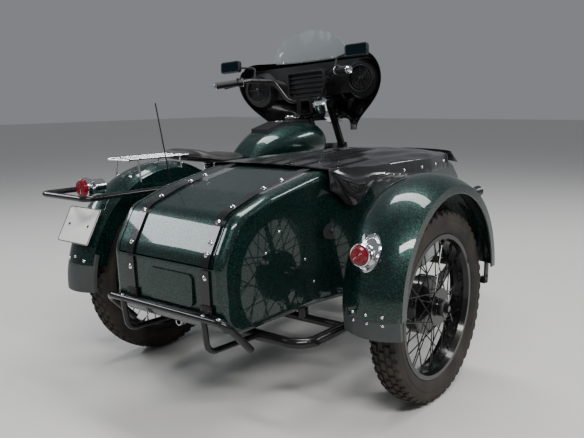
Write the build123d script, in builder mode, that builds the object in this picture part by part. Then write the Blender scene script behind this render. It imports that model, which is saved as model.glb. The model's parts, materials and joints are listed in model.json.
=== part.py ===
# Sidecar motorcycle: a heavy flat-twin outfit with a solo saddle, a fork fairing and a boot behind the tub.
# Millimetres. It faces -Y, the sidecar is on -X (the rider's right), +Z is up and the floor is Z = 0.
from build123d import *
import os
from math import cos, radians, sin, sqrt, tan

os.makedirs("parts", exist_ok=True)

# Layout of the three wheels
wheelbase = 1490
track = 1177
sidecar_wheel_lead = 205
bike_x = 425
rear_axle_y = 680
tyre_radius = 338
tyre_width = 98
front_axle_y = rear_axle_y - wheelbase
sidecar_wheel_x = bike_x - track
sidecar_wheel_y = rear_axle_y - sidecar_wheel_lead
axle_z = tyre_radius


def along_bike(share):
    # a place between the axles, as a share of the wheelbase ahead of the rear axle
    return rear_axle_y - share * wheelbase


# Wire wheels: 19 inch rims, forty spokes
rim_flange_radius = 253
rim_bed_radius = 236
rim_width = 76
rim_wall = 5
spoke_count = 40
spoke_radius = 2.2
spoke_rim_radius = rim_bed_radius - rim_wall + 2
hub_flange_radius = 66
hub_flange_x = 34
drum_radius = 104
hub_half_width = 46
axle_radius = 10
axle_clearance = 0.5

# Steering geometry: the fork leans back, and it rests turned to the left
rake = 28
trail = 85
steering_at_rest = 10
head_bottom_z = 770
head_top_z = 952
head_tube_radius = 28
head_bore_radius = 18.5
stem_radius = 18
fork_half_track = 104
ground_hit_y = front_axle_y - trail


def steering_y(z):
    # where the steering axis passes at height z
    return ground_hit_y + z * tan(radians(rake))


steering_dir = Vector(0, sin(radians(rake)), cos(radians(rake)))
steering_foot = Vector(bike_x, steering_y(head_bottom_z), head_bottom_z)
steering_axis = Axis(steering_foot, steering_dir)

# Frame tubes
frame_tube = 15
frame_half_width = 120
cradle_z = 205
cradle_front_y = along_bike(0.715)
seat_post_y = along_bike(0.255)
seat_rail_z = 690
sidecar_tube = 19
sidecar_frame_z = 262
sidecar_frame_inner_x = 170
sidecar_frame_outer_x = -520
sidecar_frame_front_y = -450
sidecar_frame_rear_y = 900

# Flat twin engine
engine_y = along_bike(0.59)
cylinder_z = 388
crankcase_half_width = 112
crankcase_front_y = engine_y - 155
crankcase_rear_y = engine_y + 160
barrel_radius = 44
fin_size = 148
fin_corner = 42
fin_thickness = 3
fin_pitch = 11
fin_count = 9
head_length = 96
cylinder_reach = 365

# Tub of the sidecar: sheet steel, seen from above and from the side
tub_wall = 4
tub_floor_z = 315
tub_rear_y = 1138
tub_left_x = 125
tub_right_x = -395
tub_bulge_x = -458
seam_z = 541
deck_front_y = 610
deck_front_z = 800
cowl_y = -330
cowl_z = 790
lid_gap = 5
lid_side_inset = 34
strap_width = 34
strap_height = 7
strap_left_x = 25
strap_right_x = -330
tub_edge = 26

# Fenders
fender_wall = 3
rear_fender_radius = 451
rear_fender_y = 653
rear_fender_z = 349
rear_fender_width = 160
sidecar_fender_radius = 388
sidecar_fender_x = -732
sidecar_fender_y = sidecar_wheel_y
sidecar_fender_z = 410
sidecar_fender_width = 215
front_fender_radius = 372
front_fender_width = 132

# Handlebar
bar_tube = 11
bar_half_width = 385
grip_length = 120
grip_radius = 17


def tube(points, radius, bend=60):
    # a round tube along straight runs, with a bend at each corner
    with BuildLine() as route:
        if len(points) == 2:
            Line(*points)
        else:
            FilletPolyline(*points, radius=bend)
    with BuildSketch(Plane(origin=route.line @ 0, z_dir=route.line % 0)) as section:
        Circle(radius)
    sweep(sections=section.sketch, path=route.line)


def fender(centre, radius, width, valance, rear_angle, front_angle, crown=26, wall=fender_wall):
    # a U section turned about the wheel's axle line, angles counted from the top
    angle = radians(rear_angle)
    half = width / 2
    plane = Plane(origin=centre, x_dir=(1, 0, 0), z_dir=(0, -cos(angle), sin(angle)))
    with BuildSketch(plane) as section:
        with BuildLine():
            Line((-half, radius - valance), (-half, radius - crown))
            ThreePointArc((-half, radius - crown), (0, radius), (half, radius - crown))
            Line((half, radius - crown), (half, radius - valance))
            Line((half, radius - valance), (half - wall, radius - valance))
            Line((half - wall, radius - valance), (half - wall, radius - crown))
            ThreePointArc(
                (half - wall, radius - crown), (0, radius - wall), (-half + wall, radius - crown)
            )
            Line((-half + wall, radius - crown), (-half + wall, radius - valance))
            Line((-half + wall, radius - valance), (-half, radius - valance))
        make_face()
    revolve(section.sketch, axis=Axis(centre, (1, 0, 0)), revolution_arc=rear_angle + front_angle)


# Wheels: one tyre and one wire wheel at the origin, axle along X, then three places
tread_radius = tyre_radius - 8
with BuildPart() as tyre:
    with BuildSketch(Plane.XZ):
        with BuildLine():
            half_bead = rim_width / 2 - 4
            half_tyre = tyre_width / 2
            Polyline(
                (-half_bead, rim_flange_radius),
                (-half_bead, rim_bed_radius + 6),
                (-18, rim_bed_radius),
                (18, rim_bed_radius),
                (half_bead, rim_bed_radius + 6),
                (half_bead, rim_flange_radius),
            )
            ThreePointArc(
                (half_bead, rim_flange_radius),
                (half_tyre, (rim_flange_radius + tread_radius) / 2),
                (half_tyre - 8, tread_radius),
            )
            ThreePointArc((half_tyre - 8, tread_radius), (0, tyre_radius), (8 - half_tyre, tread_radius))
            ThreePointArc(
                (8 - half_tyre, tread_radius),
                (-half_tyre, (rim_flange_radius + tread_radius) / 2),
                (-half_bead, rim_flange_radius),
            )
        make_face()
    revolve(axis=Axis.X)

with BuildPart() as wire_wheel:
    with BuildSketch(Plane.XZ):
        half_rim = rim_width / 2
        with BuildLine():
            Polyline(
                (-half_rim, rim_flange_radius),
                (4 - half_rim, rim_flange_radius),
                (4 - half_rim, rim_bed_radius + 6),
                (-18, rim_bed_radius),
                (18, rim_bed_radius),
                (half_rim - 4, rim_bed_radius + 6),
                (half_rim - 4, rim_flange_radius),
                (half_rim, rim_flange_radius),
                (half_rim, rim_bed_radius + 2),
                (20, rim_bed_radius - rim_wall),
                (-20, rim_bed_radius - rim_wall),
                (-half_rim, rim_bed_radius + 2),
                close=True,
            )
        make_face()
        bore = axle_radius + axle_clearance
        with BuildLine():
            Polyline(
                (-hub_half_width, bore),
                (-hub_half_width, 26),
                (-hub_flange_x - 4, 30),
                (-hub_flange_x - 4, hub_flange_radius),
                (-hub_flange_x + 2, hub_flange_radius),
                (-hub_flange_x + 8, 36),
                (0, 34),
                (4, drum_radius - 8),
                (hub_flange_x - 28, drum_radius),
                (hub_half_width, drum_radius),
                (hub_half_width, drum_radius - 10),
                (hub_half_width - 6, 30),
                (hub_half_width, 24),
                (hub_half_width, bore),
                close=True,
            )
        make_face()
    revolve(axis=Axis.X)
    # side of the hub: place along the axle and radius there, place along the axle at the rim, crossing angle
    for hub_x, hub_r, rim_x, crossing in [
        (-hub_flange_x, hub_flange_radius - 6, -6, 52),
        (14, drum_radius - 5, 6, 34),
    ]:
        for index in range(spoke_count // 2):
            rim_angle = radians(360 * (index + (0.5 if rim_x > 0 else 0)) / (spoke_count // 2))
            hub_angle = rim_angle + radians(crossing if index % 2 else -crossing)
            hub_end = Vector(hub_x, hub_r * cos(hub_angle), hub_r * sin(hub_angle))
            rim_end = Vector(rim_x, spoke_rim_radius * cos(rim_angle), spoke_rim_radius * sin(rim_angle))
            with BuildSketch(Plane(origin=hub_end, z_dir=rim_end - hub_end)):
                RegularPolygon(spoke_radius, 5)
        extrude(amount=(rim_end - hub_end).length)

front_axle = Vector(bike_x, front_axle_y, axle_z)
rear_axle = Vector(bike_x, rear_axle_y, axle_z)
sidecar_axle = Vector(sidecar_wheel_x, sidecar_wheel_y, axle_z)

# name, centre, half turn about Z that puts the drum on the other side, steered
wheel_places = [
    ("front", front_axle, 0, True),
    ("rear", rear_axle, 180, False),
    ("sidecar", sidecar_axle, 0, False),
]
for place_name, centre, half_turn, steered in wheel_places:
    for kind, source in [("tyre", tyre), ("wheel", wire_wheel)]:
        with BuildPart() as placed:
            add(source.part.moved(Location(centre, (0, 0, half_turn))))
        if steered:
            placed.part = placed.part.rotate(steering_axis, steering_at_rest)
        placed.part.label = f"{place_name}_{kind}"
        export_step(placed.part, f"parts/{place_name}_{kind}.step")

# Bike frame: head tube, backbone, duplex cradle, seat rails
top_tube_z = 712
with BuildPart() as bike_frame:
    head_low = Vector(bike_x, steering_y(head_bottom_z), head_bottom_z)
    head_high = Vector(bike_x, steering_y(head_top_z), head_top_z)
    with BuildSketch(Plane(origin=head_low, z_dir=steering_dir)):
        Circle(head_tube_radius)
    extrude(amount=(head_high - head_low).length)
    backbone = [
        (bike_x, steering_y(790) + 10, 790),
        (bike_x, steering_y(790) + 75, top_tube_z),
        (bike_x, seat_post_y - 150, seat_rail_z),
        (bike_x, seat_post_y, seat_rail_z - 1),
    ]
    tube(backbone, 18, bend=50)
    for side in (-1, 1):
        x = bike_x + side * frame_half_width
        down_tube = [
            (bike_x + side * 12, steering_y(800) + 14, 800),
            (bike_x + side * 60, cradle_front_y - 10, 640),
            (x, cradle_front_y, 460),
            (x, cradle_front_y, cradle_z),
            (x, seat_post_y, cradle_z),
            (x, seat_post_y, seat_rail_z),
        ]
        tube(down_tube, frame_tube, bend=60)
        seat_rail = [
            (bike_x + side * 10, seat_post_y - 160, seat_rail_z),
            (bike_x + side * 60, seat_post_y - 100, seat_rail_z),
            (x, seat_post_y, seat_rail_z),
            (x, rear_axle_y - 90, seat_rail_z + 10),
        ]
        tube(seat_rail, 12, bend=40)
        tube([(x, rear_axle_y - 160, seat_rail_z + 6), (x, seat_post_y, 440)], 9)
    for y, z in [
        (seat_post_y, cradle_z),
        (cradle_front_y, cradle_z),
        (seat_post_y, 440),
        (seat_post_y, seat_rail_z),
    ]:
        tube([(bike_x - frame_half_width, y, z), (bike_x + frame_half_width, y, z)], 12)
    with BuildSketch(Plane(origin=head_low, z_dir=steering_dir)):
        Circle(head_bore_radius)
    extrude(amount=(head_high - head_low).length, mode=Mode.SUBTRACT)
bike_frame.part.label = "bike_frame"
export_step(bike_frame.part, "parts/bike_frame.step")

# Engine: crankcase with front cover, finned barrels and heads, carburettors, gearbox
with BuildPart() as crankcase:
    with BuildSketch(Plane.YZ.offset(bike_x)):
        with BuildLine():
            FilletPolyline(
                (crankcase_front_y, 250),
                (crankcase_front_y + 40, 165),
                (crankcase_rear_y, 165),
                (crankcase_rear_y, 500),
                (crankcase_front_y + 60, 520),
                (crankcase_front_y, 470),
                radius=22,
                close=True,
            )
        make_face()
    extrude(amount=96, both=True)
    with Locations(Location((bike_x, engine_y, cylinder_z), (0, 90, 0))):
        Cylinder(62, 2 * crankcase_half_width)
    with Locations(Location((bike_x, crankcase_front_y - 4, 400), (90, 0, 0))):
        Cylinder(80, 24)
    with Locations((bike_x, crankcase_front_y + 50, 520)):
        Cylinder(52, 70)
crankcase.part.label = "crankcase"
export_step(crankcase.part, "parts/crankcase.step")

with BuildPart() as cylinders:
    for side in (-1, 1):
        start = bike_x + side * crankcase_half_width
        base = Plane(origin=(start, engine_y, cylinder_z), x_dir=(0, 1, 0), z_dir=(side, 0, 0))
        barrel_length = cylinder_reach - crankcase_half_width - head_length
        with BuildSketch(base):
            Circle(barrel_radius)
        extrude(amount=barrel_length + 6)
        for fin in range(fin_count):
            with BuildSketch(base.offset(12 + fin * fin_pitch)):
                RectangleRounded(fin_size, fin_size, fin_corner)
            extrude(amount=fin_thickness)
        with BuildSketch(base.offset(barrel_length)):
            RectangleRounded(fin_size - 30, fin_size - 30, fin_corner - 12)
        extrude(amount=head_length - 30)
        for fin in range(4):
            with BuildSketch(base.offset(barrel_length + 6 + fin * 15)):
                RectangleRounded(fin_size, fin_size - 12, fin_corner)
            extrude(amount=4)
        with BuildSketch(base.offset(barrel_length + head_length - 32)):
            RectangleRounded(fin_size - 12, fin_size - 28, 46)
        extrude(amount=32, taper=14)
cylinders.part.label = "cylinders"
export_step(cylinders.part, "parts/cylinders.step")

with BuildPart() as carburettors:
    for side in (-1, 1):
        x = bike_x + side * 262
        inlet = [(x, engine_y + 62, 405), (x, engine_y + 100, 415), (x, engine_y + 170, 415)]
        tube(inlet, 17, bend=30)
        with Locations((x, engine_y + 118, 420)):
            Cylinder(21, 96)
        with Locations((x, engine_y + 118, 366)):
            Cylinder(26, 36)
        air_pipe = [
            (x, engine_y + 168, 415),
            (x, engine_y + 200, 430),
            (bike_x + side * 60, engine_y + 235, 545),
        ]
        tube(air_pipe, 16, bend=18)
    add(cylinders.part, mode=Mode.SUBTRACT)
carburettors.part.label = "carburettors"
export_step(carburettors.part, "parts/carburettors.step")

gearbox_rear_y = engine_y + 390
air_filter_y = engine_y + 236
with BuildPart() as gearbox:
    with BuildSketch(Plane.YZ.offset(bike_x)):
        with BuildLine():
            FilletPolyline(
                (crankcase_rear_y, 190),
                (gearbox_rear_y - 40, 215),
                (gearbox_rear_y, 300),
                (gearbox_rear_y, 400),
                (gearbox_rear_y - 70, 490),
                (crankcase_rear_y, 500),
                radius=20,
                close=True,
            )
        make_face()
    extrude(amount=92, both=True)
    with Locations((bike_x, air_filter_y, 555)):
        Cylinder(62, 130)
    with Locations((bike_x, air_filter_y, 624)):
        Cylinder(66, 12)
    add(carburettors.part, mode=Mode.SUBTRACT)
gearbox.part.label = "gearbox"
export_step(gearbox.part, "parts/gearbox.step")

exhaust_z = 174
silencer_y = engine_y + 260
silencer_length = 680
tail_radius = 16
tail_bore = 13
tail_length = 50
with BuildPart() as exhausts:
    for side in (-1, 1):
        port_x = bike_x + side * 300
        run_x = bike_x + side * 232
        pipe = [
            (port_x, engine_y - 60, 368),
            (port_x, engine_y - 112, 368),
            (port_x, engine_y - 118, 250),
            (run_x, engine_y - 60, exhaust_z),
            (run_x, silencer_y + 80, exhaust_z),
        ]
        tube(pipe, 19, bend=34)
        with BuildSketch(Plane(origin=(run_x, silencer_y, exhaust_z), x_dir=(1, 0, 0), z_dir=(0, 0, 1))):
            with BuildLine():
                Polyline(
                    (0, 0),
                    (22, 0),
                    (40, 60),
                    (40, silencer_length - 140),
                    (tail_radius, silencer_length - 20),
                    (tail_radius, silencer_length + tail_length),
                    (tail_bore, silencer_length + tail_length),
                    (tail_bore, silencer_length - 10),
                    (0, silencer_length - 10),
                    close=True,
                )
            make_face()
        revolve(axis=Axis((run_x, silencer_y, exhaust_z), (0, 1, 0)))
    add(cylinders.part, mode=Mode.SUBTRACT)
exhausts.part.label = "exhausts"
export_step(exhausts.part, "parts/exhausts.step")

# Rear suspension: fork arms from a pivot behind the gearbox, bevel drive on the right, shock absorbers
arm_x = 108
arm_pivot_y = seat_post_y - 50
arm_pivot_z = 372
shock_x = 138
shock_foot = (rear_axle_y - 40, axle_z + 34)
shock_head = (rear_axle_y - 120, seat_rail_z + 4)
with BuildPart() as rear_shocks:
    for side in (-1, 1):
        x = bike_x + side * (shock_x + 14)
        foot = Vector(x, *shock_foot)
        head = Vector(x, *shock_head)
        along = head - foot
        # share of the height where each cover starts and ends, and its radius
        for low, high, radius in [(0.0, 0.12, 15), (0.1, 0.5, 25), (0.46, 0.95, 30), (0.93, 1.0, 15)]:
            with BuildSketch(Plane(origin=foot + along * low, z_dir=along)):
                Circle(radius)
            extrude(amount=along.length * (high - low))
rear_shocks.part.label = "rear_shocks"
export_step(rear_shocks.part, "parts/rear_shocks.step")

with BuildPart() as swingarm:
    wheel_centre = (bike_x, rear_axle_y, axle_z)
    drive_plane = Plane(origin=wheel_centre, x_dir=(0, 1, 0), z_dir=(-1, 0, 0))
    for side in (-1, 1):
        x = bike_x + side * arm_x
        tube([(x, arm_pivot_y, arm_pivot_z), (x, rear_axle_y, axle_z)], 17)
        tube([(x, shock_foot[0], axle_z), (bike_x + side * shock_x, *shock_foot)], 9)
    for left, right, y, z, radius in [
        (bike_x - frame_half_width, bike_x + frame_half_width, arm_pivot_y, arm_pivot_z, 15),
        (bike_x - arm_x - 20, bike_x + arm_x + 24, rear_axle_y, axle_z, axle_radius),
    ]:
        tube([(left, y, z), (right, y, z)], radius)
    with BuildSketch(drive_plane.offset(hub_half_width + 7)):
        Circle(92)
    extrude(amount=52, taper=12)
    with BuildSketch(drive_plane.offset(hub_half_width + 40)):
        Circle(52)
    extrude(amount=40, taper=8)
    tube([(bike_x - 84, rear_axle_y, axle_z), (bike_x - 84, gearbox_rear_y + 2, 338)], 15)
    with Locations(Location((bike_x - 84, gearbox_rear_y + 25, 338), (90, 0, 0))):
        Cylinder(38, 46)
    add(rear_shocks.part, mode=Mode.SUBTRACT)
    add(bike_frame.part, mode=Mode.SUBTRACT)
    add(gearbox.part, mode=Mode.SUBTRACT)
swingarm.part.label = "swingarm"
export_step(swingarm.part, "parts/swingarm.step")

# Tank: five sections along the bike, each a rounded rectangle
with BuildPart() as fuel_tank:
    # distance along the bike, width, bottom and top height, corner radius
    for y, width, low, high, corner in [
        (along_bike(0.738), 190, 776, 850, 34),
        (along_bike(0.698), 272, 748, 908, 72),
        (along_bike(0.597), 316, 738, 932, 86),
        (along_bike(0.47), 244, 734, 896, 74),
        (along_bike(0.356), 150, 730, 782, 24),
    ]:
        with BuildSketch(Plane(origin=(bike_x, y, (low + high) / 2), x_dir=(1, 0, 0), z_dir=(0, 1, 0))):
            RectangleRounded(width, high - low, corner)
    loft()
    add(bike_frame.part, mode=Mode.SUBTRACT)
fuel_tank.part.label = "fuel_tank"
export_step(fuel_tank.part, "parts/fuel_tank.step")

console_y = along_bike(0.624)
with BuildPart() as tank_console:
    with BuildSketch(Plane.YZ.offset(bike_x)):
        with BuildLine():
            Polyline(
                (console_y - 80, 925),
                (console_y - 80, 943),
                (console_y + 130, 938),
                (console_y + 260, 905),
                (console_y + 260, 880),
                (console_y + 130, 915),
                close=True,
            )
        make_face()
    extrude(amount=52, both=True)
    with Locations(Location((bike_x, console_y, 950), (3, 0, 0))):
        Cylinder(34, 26)
    add(fuel_tank.part, mode=Mode.SUBTRACT)
tank_console.part.label = "tank_console"
export_step(tank_console.part, "parts/tank_console.step")

# Solo saddle on two rubber stands over the seat rails
saddle_low_z = 776
with BuildPart() as saddle:
    # distance along the bike, width, bottom and top height, corner radius
    for y, width, low, high, corner in [
        (seat_post_y - 128, 120, 778, 800, 10),
        (seat_post_y - 50, 170, saddle_low_z, 812, 16),
        (seat_post_y + 80, 262, saddle_low_z, 822, 20),
        (seat_post_y + 180, 286, 782, 840, 22),
        (seat_post_y + 240, 220, 806, 844, 16),
    ]:
        with BuildSketch(Plane(origin=(bike_x, y, (low + high) / 2), x_dir=(1, 0, 0), z_dir=(0, 1, 0))):
            RectangleRounded(width, high - low, corner)
    loft()
saddle.part.label = "saddle"
export_step(saddle.part, "parts/saddle.step")

with BuildPart() as saddle_stands:
    for side in (-1, 1):
        with Locations((bike_x + side * 66, seat_post_y, seat_rail_z + 43)):
            Cylinder(22, 86)
    tube([(bike_x, seat_post_y - 100, seat_rail_z), (bike_x, seat_post_y - 100, 790)], 14)
    add(bike_frame.part, mode=Mode.SUBTRACT)
    add(saddle.part, mode=Mode.SUBTRACT)
saddle_stands.part.label = "saddle_stands"
export_step(saddle_stands.part, "parts/saddle_stands.step")

# Rear fender, its rack, hoop, plate, lamps and mudflaps
rear_fender_centre = (bike_x, rear_fender_y, rear_fender_z)
with BuildPart() as rear_fender:
    fender(rear_fender_centre, rear_fender_radius, rear_fender_width, 92, 78, 38)
rear_fender.part.label = "rear_fender"
export_step(rear_fender.part, "parts/rear_fender.step")

rack_z = 822
with BuildPart() as rear_rack:
    for x in (-66, -24, 24, 66):
        tube([(bike_x + x, 552, rack_z), (bike_x + x, 862, rack_z)], 5)
    for y in (552, 700, 862):
        tube([(bike_x - 66, y, rack_z - 4), (bike_x + 66, y, rack_z - 4)], 4)
    for side in (-1, 1):
        for y, foot_z in [(600, 752), (820, 730)]:
            tube([(bike_x + side * 66, y, rack_z - 2), (bike_x + side * 79, y, foot_z)], 4)
    add(rear_fender.part, mode=Mode.SUBTRACT)
rear_rack.part = rear_rack.part.solids().sort_by(SortBy.VOLUME)[-1]
rear_rack.part.label = "rear_rack"
export_step(rear_rack.part, "parts/rear_rack.step")

hoop_z = 702
hoop_half_width = 140
with BuildPart() as rear_hoop:
    hoop = [
        (bike_x - rear_fender_width / 2, 700, hoop_z),
        (bike_x - hoop_half_width, 740, hoop_z),
        (bike_x - hoop_half_width, 1124, hoop_z),
        (bike_x + hoop_half_width, 1124, hoop_z),
        (bike_x + hoop_half_width, 740, hoop_z),
        (bike_x + rear_fender_width / 2, 700, hoop_z),
    ]
    tube(hoop, 11, bend=32)
    add(rear_fender.part, mode=Mode.SUBTRACT)
rear_hoop.part.label = "rear_hoop"
export_step(rear_hoop.part, "parts/rear_hoop.step")

plate_width = 190
plate_height = 145
plate_lean = 29.5
with BuildPart() as number_plate:
    plate_out = (0, cos(radians(plate_lean)), sin(radians(plate_lean)))
    plate_plane = Plane(origin=(bike_x, 1063, 585), x_dir=(-1, 0, 0), z_dir=plate_out)
    with BuildSketch(plate_plane):
        RectangleRounded(plate_width, plate_height, 8)
    extrude(amount=2.5)
    with BuildSketch(plate_plane.offset(-42)):
        Rectangle(70, 60)
    extrude(amount=42)
    add(rear_fender.part, mode=Mode.SUBTRACT)
number_plate.part = number_plate.part.solids().sort_by(SortBy.VOLUME)[-1]
number_plate.part.label = "number_plate"
export_step(number_plate.part, "parts/number_plate.step")

sidecar_fender_centre = (sidecar_fender_x, sidecar_fender_y, sidecar_fender_z)
with BuildPart() as sidecar_fender:
    fender(sidecar_fender_centre, sidecar_fender_radius, sidecar_fender_width, 62, 94, 88, crown=34)
sidecar_fender.part.label = "sidecar_fender"
export_step(sidecar_fender.part, "parts/sidecar_fender.step")

# lamp: base point, axis, stalk length, housing radius, lens length
tail_lamp_place = Plane(origin=(bike_x, 950, 724), x_dir=(1, 0, 0), z_dir=(0, 1, 0))
side_lamp_place = Plane(origin=(-715, 808, 585), x_dir=(1, 0, 0), z_dir=(0, 1, 0))
lamp_sizes = [(tail_lamp_place, 84, 40, 34), (side_lamp_place, 62, 33, 30)]
with BuildPart() as rear_lamps:
    for place, body_length, body_radius, lens_radius in lamp_sizes:
        with BuildSketch(place):
            Circle(body_radius - 10)
        extrude(amount=body_length - 20)
        with BuildSketch(place.offset(body_length - 36)):
            Circle(body_radius - 8)
        with BuildSketch(place.offset(body_length - 14)):
            Circle(body_radius)
        loft()
        with BuildSketch(place.offset(body_length - 14)):
            Circle(body_radius)
        extrude(amount=14)
    add(sidecar_fender.part, mode=Mode.SUBTRACT)
    add(rear_fender.part, mode=Mode.SUBTRACT)
rear_lamps.part = Part(children=rear_lamps.part.solids().sort_by(SortBy.VOLUME)[-2:])
rear_lamps.part.label = "rear_lamps"
export_step(rear_lamps.part, "parts/rear_lamps.step")

with BuildPart() as rear_lenses:
    for place, body_length, body_radius, lens_radius in lamp_sizes:
        with BuildSketch(place.offset(body_length)):
            Circle(lens_radius)
        extrude(amount=14, taper=20)
rear_lenses.part.label = "rear_lenses"
export_step(rear_lenses.part, "parts/rear_lenses.step")

# Small marker lamp on the front of the sidecar's fender
marker_x = -786
marker_angle = 46
marker_base = Vector(
    marker_x,
    sidecar_fender_y - (sidecar_fender_radius - 18) * sin(radians(marker_angle)),
    sidecar_fender_z + (sidecar_fender_radius - 18) * cos(radians(marker_angle)),
)
with BuildPart() as marker_lamp:
    tube([marker_base, marker_base + Vector(0, -14, 34)], 7)
    with BuildSketch(Plane(origin=marker_base + Vector(0, 12, 40), x_dir=(1, 0, 0), z_dir=(0, -1, 0))):
        Circle(15)
    with BuildSketch(Plane(origin=marker_base + Vector(0, -34, 40), x_dir=(1, 0, 0), z_dir=(0, -1, 0))):
        Circle(20)
    loft()
    fillet(marker_lamp.faces().sort_by(Axis.Y)[-1].edges(), 6)
    add(sidecar_fender.part, mode=Mode.SUBTRACT)
marker_lamp.part = marker_lamp.part.solids().sort_by(SortBy.VOLUME)[-1]
marker_lamp.part.label = "marker_lamp"
export_step(marker_lamp.part, "parts/marker_lamp.step")

with BuildPart() as mudflaps:
    # centre, radius and width of the fender, width of its flap, where the flap ends and begins
    for centre, radius, width, rear_angle, front_angle in [
        (rear_fender_centre, rear_fender_radius, rear_fender_width + 10, 92, -72),
        (sidecar_fender_centre, sidecar_fender_radius, sidecar_fender_width - 10, 104, -92),
    ]:
        fender(centre, radius - fender_wall - 1, width, 40, rear_angle, front_angle, wall=5)
    add(sidecar_fender.part, mode=Mode.SUBTRACT)
    add(rear_fender.part, mode=Mode.SUBTRACT)
mudflaps.part.label = "mudflaps"
export_step(mudflaps.part, "parts/mudflaps.step")

# Rider's controls at the feet, battery and tool boxes
peg_y = engine_y + 260
peg_z = 330
peg_reach = 290
with BuildPart() as foot_controls:
    for side in (-1, 1):
        tube([(bike_x + side * 92, peg_y, peg_z), (bike_x + side * peg_reach, peg_y, peg_z)], 9)
        tube([(bike_x + side * 190, peg_y, peg_z), (bike_x + side * peg_reach, peg_y, peg_z)], 17)
    gear_lever = [
        (bike_x + 100, peg_y - 20, peg_z - 30),
        (bike_x + 150, peg_y - 120, peg_z - 30),
        (bike_x + 190, peg_y - 130, peg_z - 30),
    ]
    tube(gear_lever, 7, bend=12)
    brake_pedal = [
        (bike_x - 100, peg_y + 30, peg_z - 30),
        (bike_x - 140, peg_y - 110, peg_z - 30),
        (bike_x - 190, peg_y - 120, peg_z - 30),
    ]
    tube(brake_pedal, 7, bend=12)
    kick_starter = [
        (bike_x + 92, gearbox_rear_y - 60, 420),
        (bike_x + 130, gearbox_rear_y - 40, 430),
        (bike_x + 150, gearbox_rear_y - 130, 560),
        (bike_x + 230, gearbox_rear_y - 140, 565),
    ]
    tube(kick_starter, 8, bend=14)
    add(gearbox.part, mode=Mode.SUBTRACT)
    add(crankcase.part, mode=Mode.SUBTRACT)
foot_controls.part.label = "foot_controls"
export_step(foot_controls.part, "parts/foot_controls.step")

with BuildPart() as side_boxes:
    with Locations((bike_x - 168, seat_post_y - 5, 560), (bike_x + 168, seat_post_y - 5, 560)):
        Box(60, 170, 170)
    chamfer(side_boxes.edges().filter_by(Axis.X), 18)
side_boxes.part.label = "side_boxes"
export_step(side_boxes.part, "parts/side_boxes.step")

# Centre stand, folded up under the frame: it turns about a pin below the cradle
stand_pivot_y = seat_post_y - 50
stand_pivot_z = 178
with BuildPart() as centre_stand:
    for side in (-1, 1):
        x = bike_x + side * 98
        leg = [
            (x, stand_pivot_y, stand_pivot_z),
            (x + side * 26, stand_pivot_y + 160, stand_pivot_z - 14),
            (x + side * 30, stand_pivot_y + 205, stand_pivot_z - 40),
        ]
        tube(leg, 11, bend=20)
    # pivot bar and cross bar: distance behind the pivot, drop, half length, radius
    for behind, drop, half, radius in [(0, 0, 120, 10), (70, 6, 112, 9)]:
        y = stand_pivot_y + behind
        z = stand_pivot_z - drop
        tube([(bike_x - half, y, z), (bike_x + half, y, z)], radius)
centre_stand.part.label = "centre_stand"
export_step(centre_stand.part, "parts/centre_stand.step")

# Steered pieces, modelled pointing straight ahead and turned to the rest angle as they are written
yoke_low_z = head_bottom_z - 26
yoke_high_z = head_top_z + 22
fork_offset = (front_axle_y - steering_y(axle_z)) * cos(radians(rake))


def steering_point(z, forward=0):
    # a point on the steering axis at height z, moved forward square to it
    base = Vector(bike_x, steering_y(z), z)
    return base + Vector(0, -cos(radians(rake)), sin(radians(rake))) * forward


with BuildPart() as fork_legs:
    for side in (-1, 1):
        foot = Vector(bike_x + side * fork_half_track, front_axle_y, axle_z)
        top_length = (yoke_high_z - axle_z) / cos(radians(rake)) + 22
        # start and end along the leg, and the radius there
        for low, high, radius in [
            (-30, 250, 27),
            (250, 300, 33),
            (300, 330, 29),
            (330, 360, 33),
            (360, 420, 27),
            (400, top_length, 20),
        ]:
            with BuildSketch(Plane(origin=foot + steering_dir * low, z_dir=steering_dir)):
                Circle(radius)
            extrude(amount=high - low)
    axle_reach = Vector(fork_half_track + 30, 0, 0)
    tube([front_axle - axle_reach, front_axle + axle_reach], axle_radius)

with BuildPart() as fork_yokes:
    for z, thickness in [(yoke_low_z, 20), (yoke_high_z, 16)]:
        middle = steering_point(z)
        with BuildSketch(Plane(origin=middle, x_dir=(1, 0, 0), z_dir=steering_dir)):
            with BuildLine():
                FilletPolyline(
                    (-fork_half_track - 26, fork_offset + 26),
                    (-30, 26),
                    (30, 26),
                    (fork_half_track + 26, fork_offset + 26),
                    (fork_half_track + 26, fork_offset - 26),
                    (-fork_half_track - 26, fork_offset - 26),
                    radius=14,
                    close=True,
                )
            make_face()
        extrude(amount=thickness / 2, both=True)
    stem_low = steering_point(yoke_low_z)
    stem_high = steering_point(yoke_high_z + 16)
    tube([stem_low, stem_high], stem_radius)
    add(fork_legs.part, mode=Mode.SUBTRACT)

with BuildPart() as front_fender:
    fender(front_axle, front_fender_radius, front_fender_width, 62, 100, 52)
    for angle in (-38, 88):
        a = radians(angle)
        edge_y = front_axle_y + (front_fender_radius - 40) * sin(a)
        edge_z = axle_z + (front_fender_radius - 40) * cos(a)
        for side in (-1, 1):
            stay = [
                (bike_x + side * front_fender_width / 2, edge_y, edge_z),
                (bike_x + side * (fork_half_track - 18), front_axle_y + 8, axle_z + 30),
            ]
            tube(stay, 5)
    add(fork_legs.part, mode=Mode.SUBTRACT)
front_fender.part = front_fender.part.rotate(steering_axis, steering_at_rest)
front_fender.part.label = "front_fender"
export_step(front_fender.part, "parts/front_fender.step")

fork_legs_ahead = fork_legs.part
fork_legs.part = fork_legs.part.rotate(steering_axis, steering_at_rest)
fork_legs.part.label = "fork_legs"
export_step(fork_legs.part, "parts/fork_legs.step")

bar_y = steering_y(yoke_high_z) + 4
bar_low_z = yoke_high_z + 70
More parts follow.
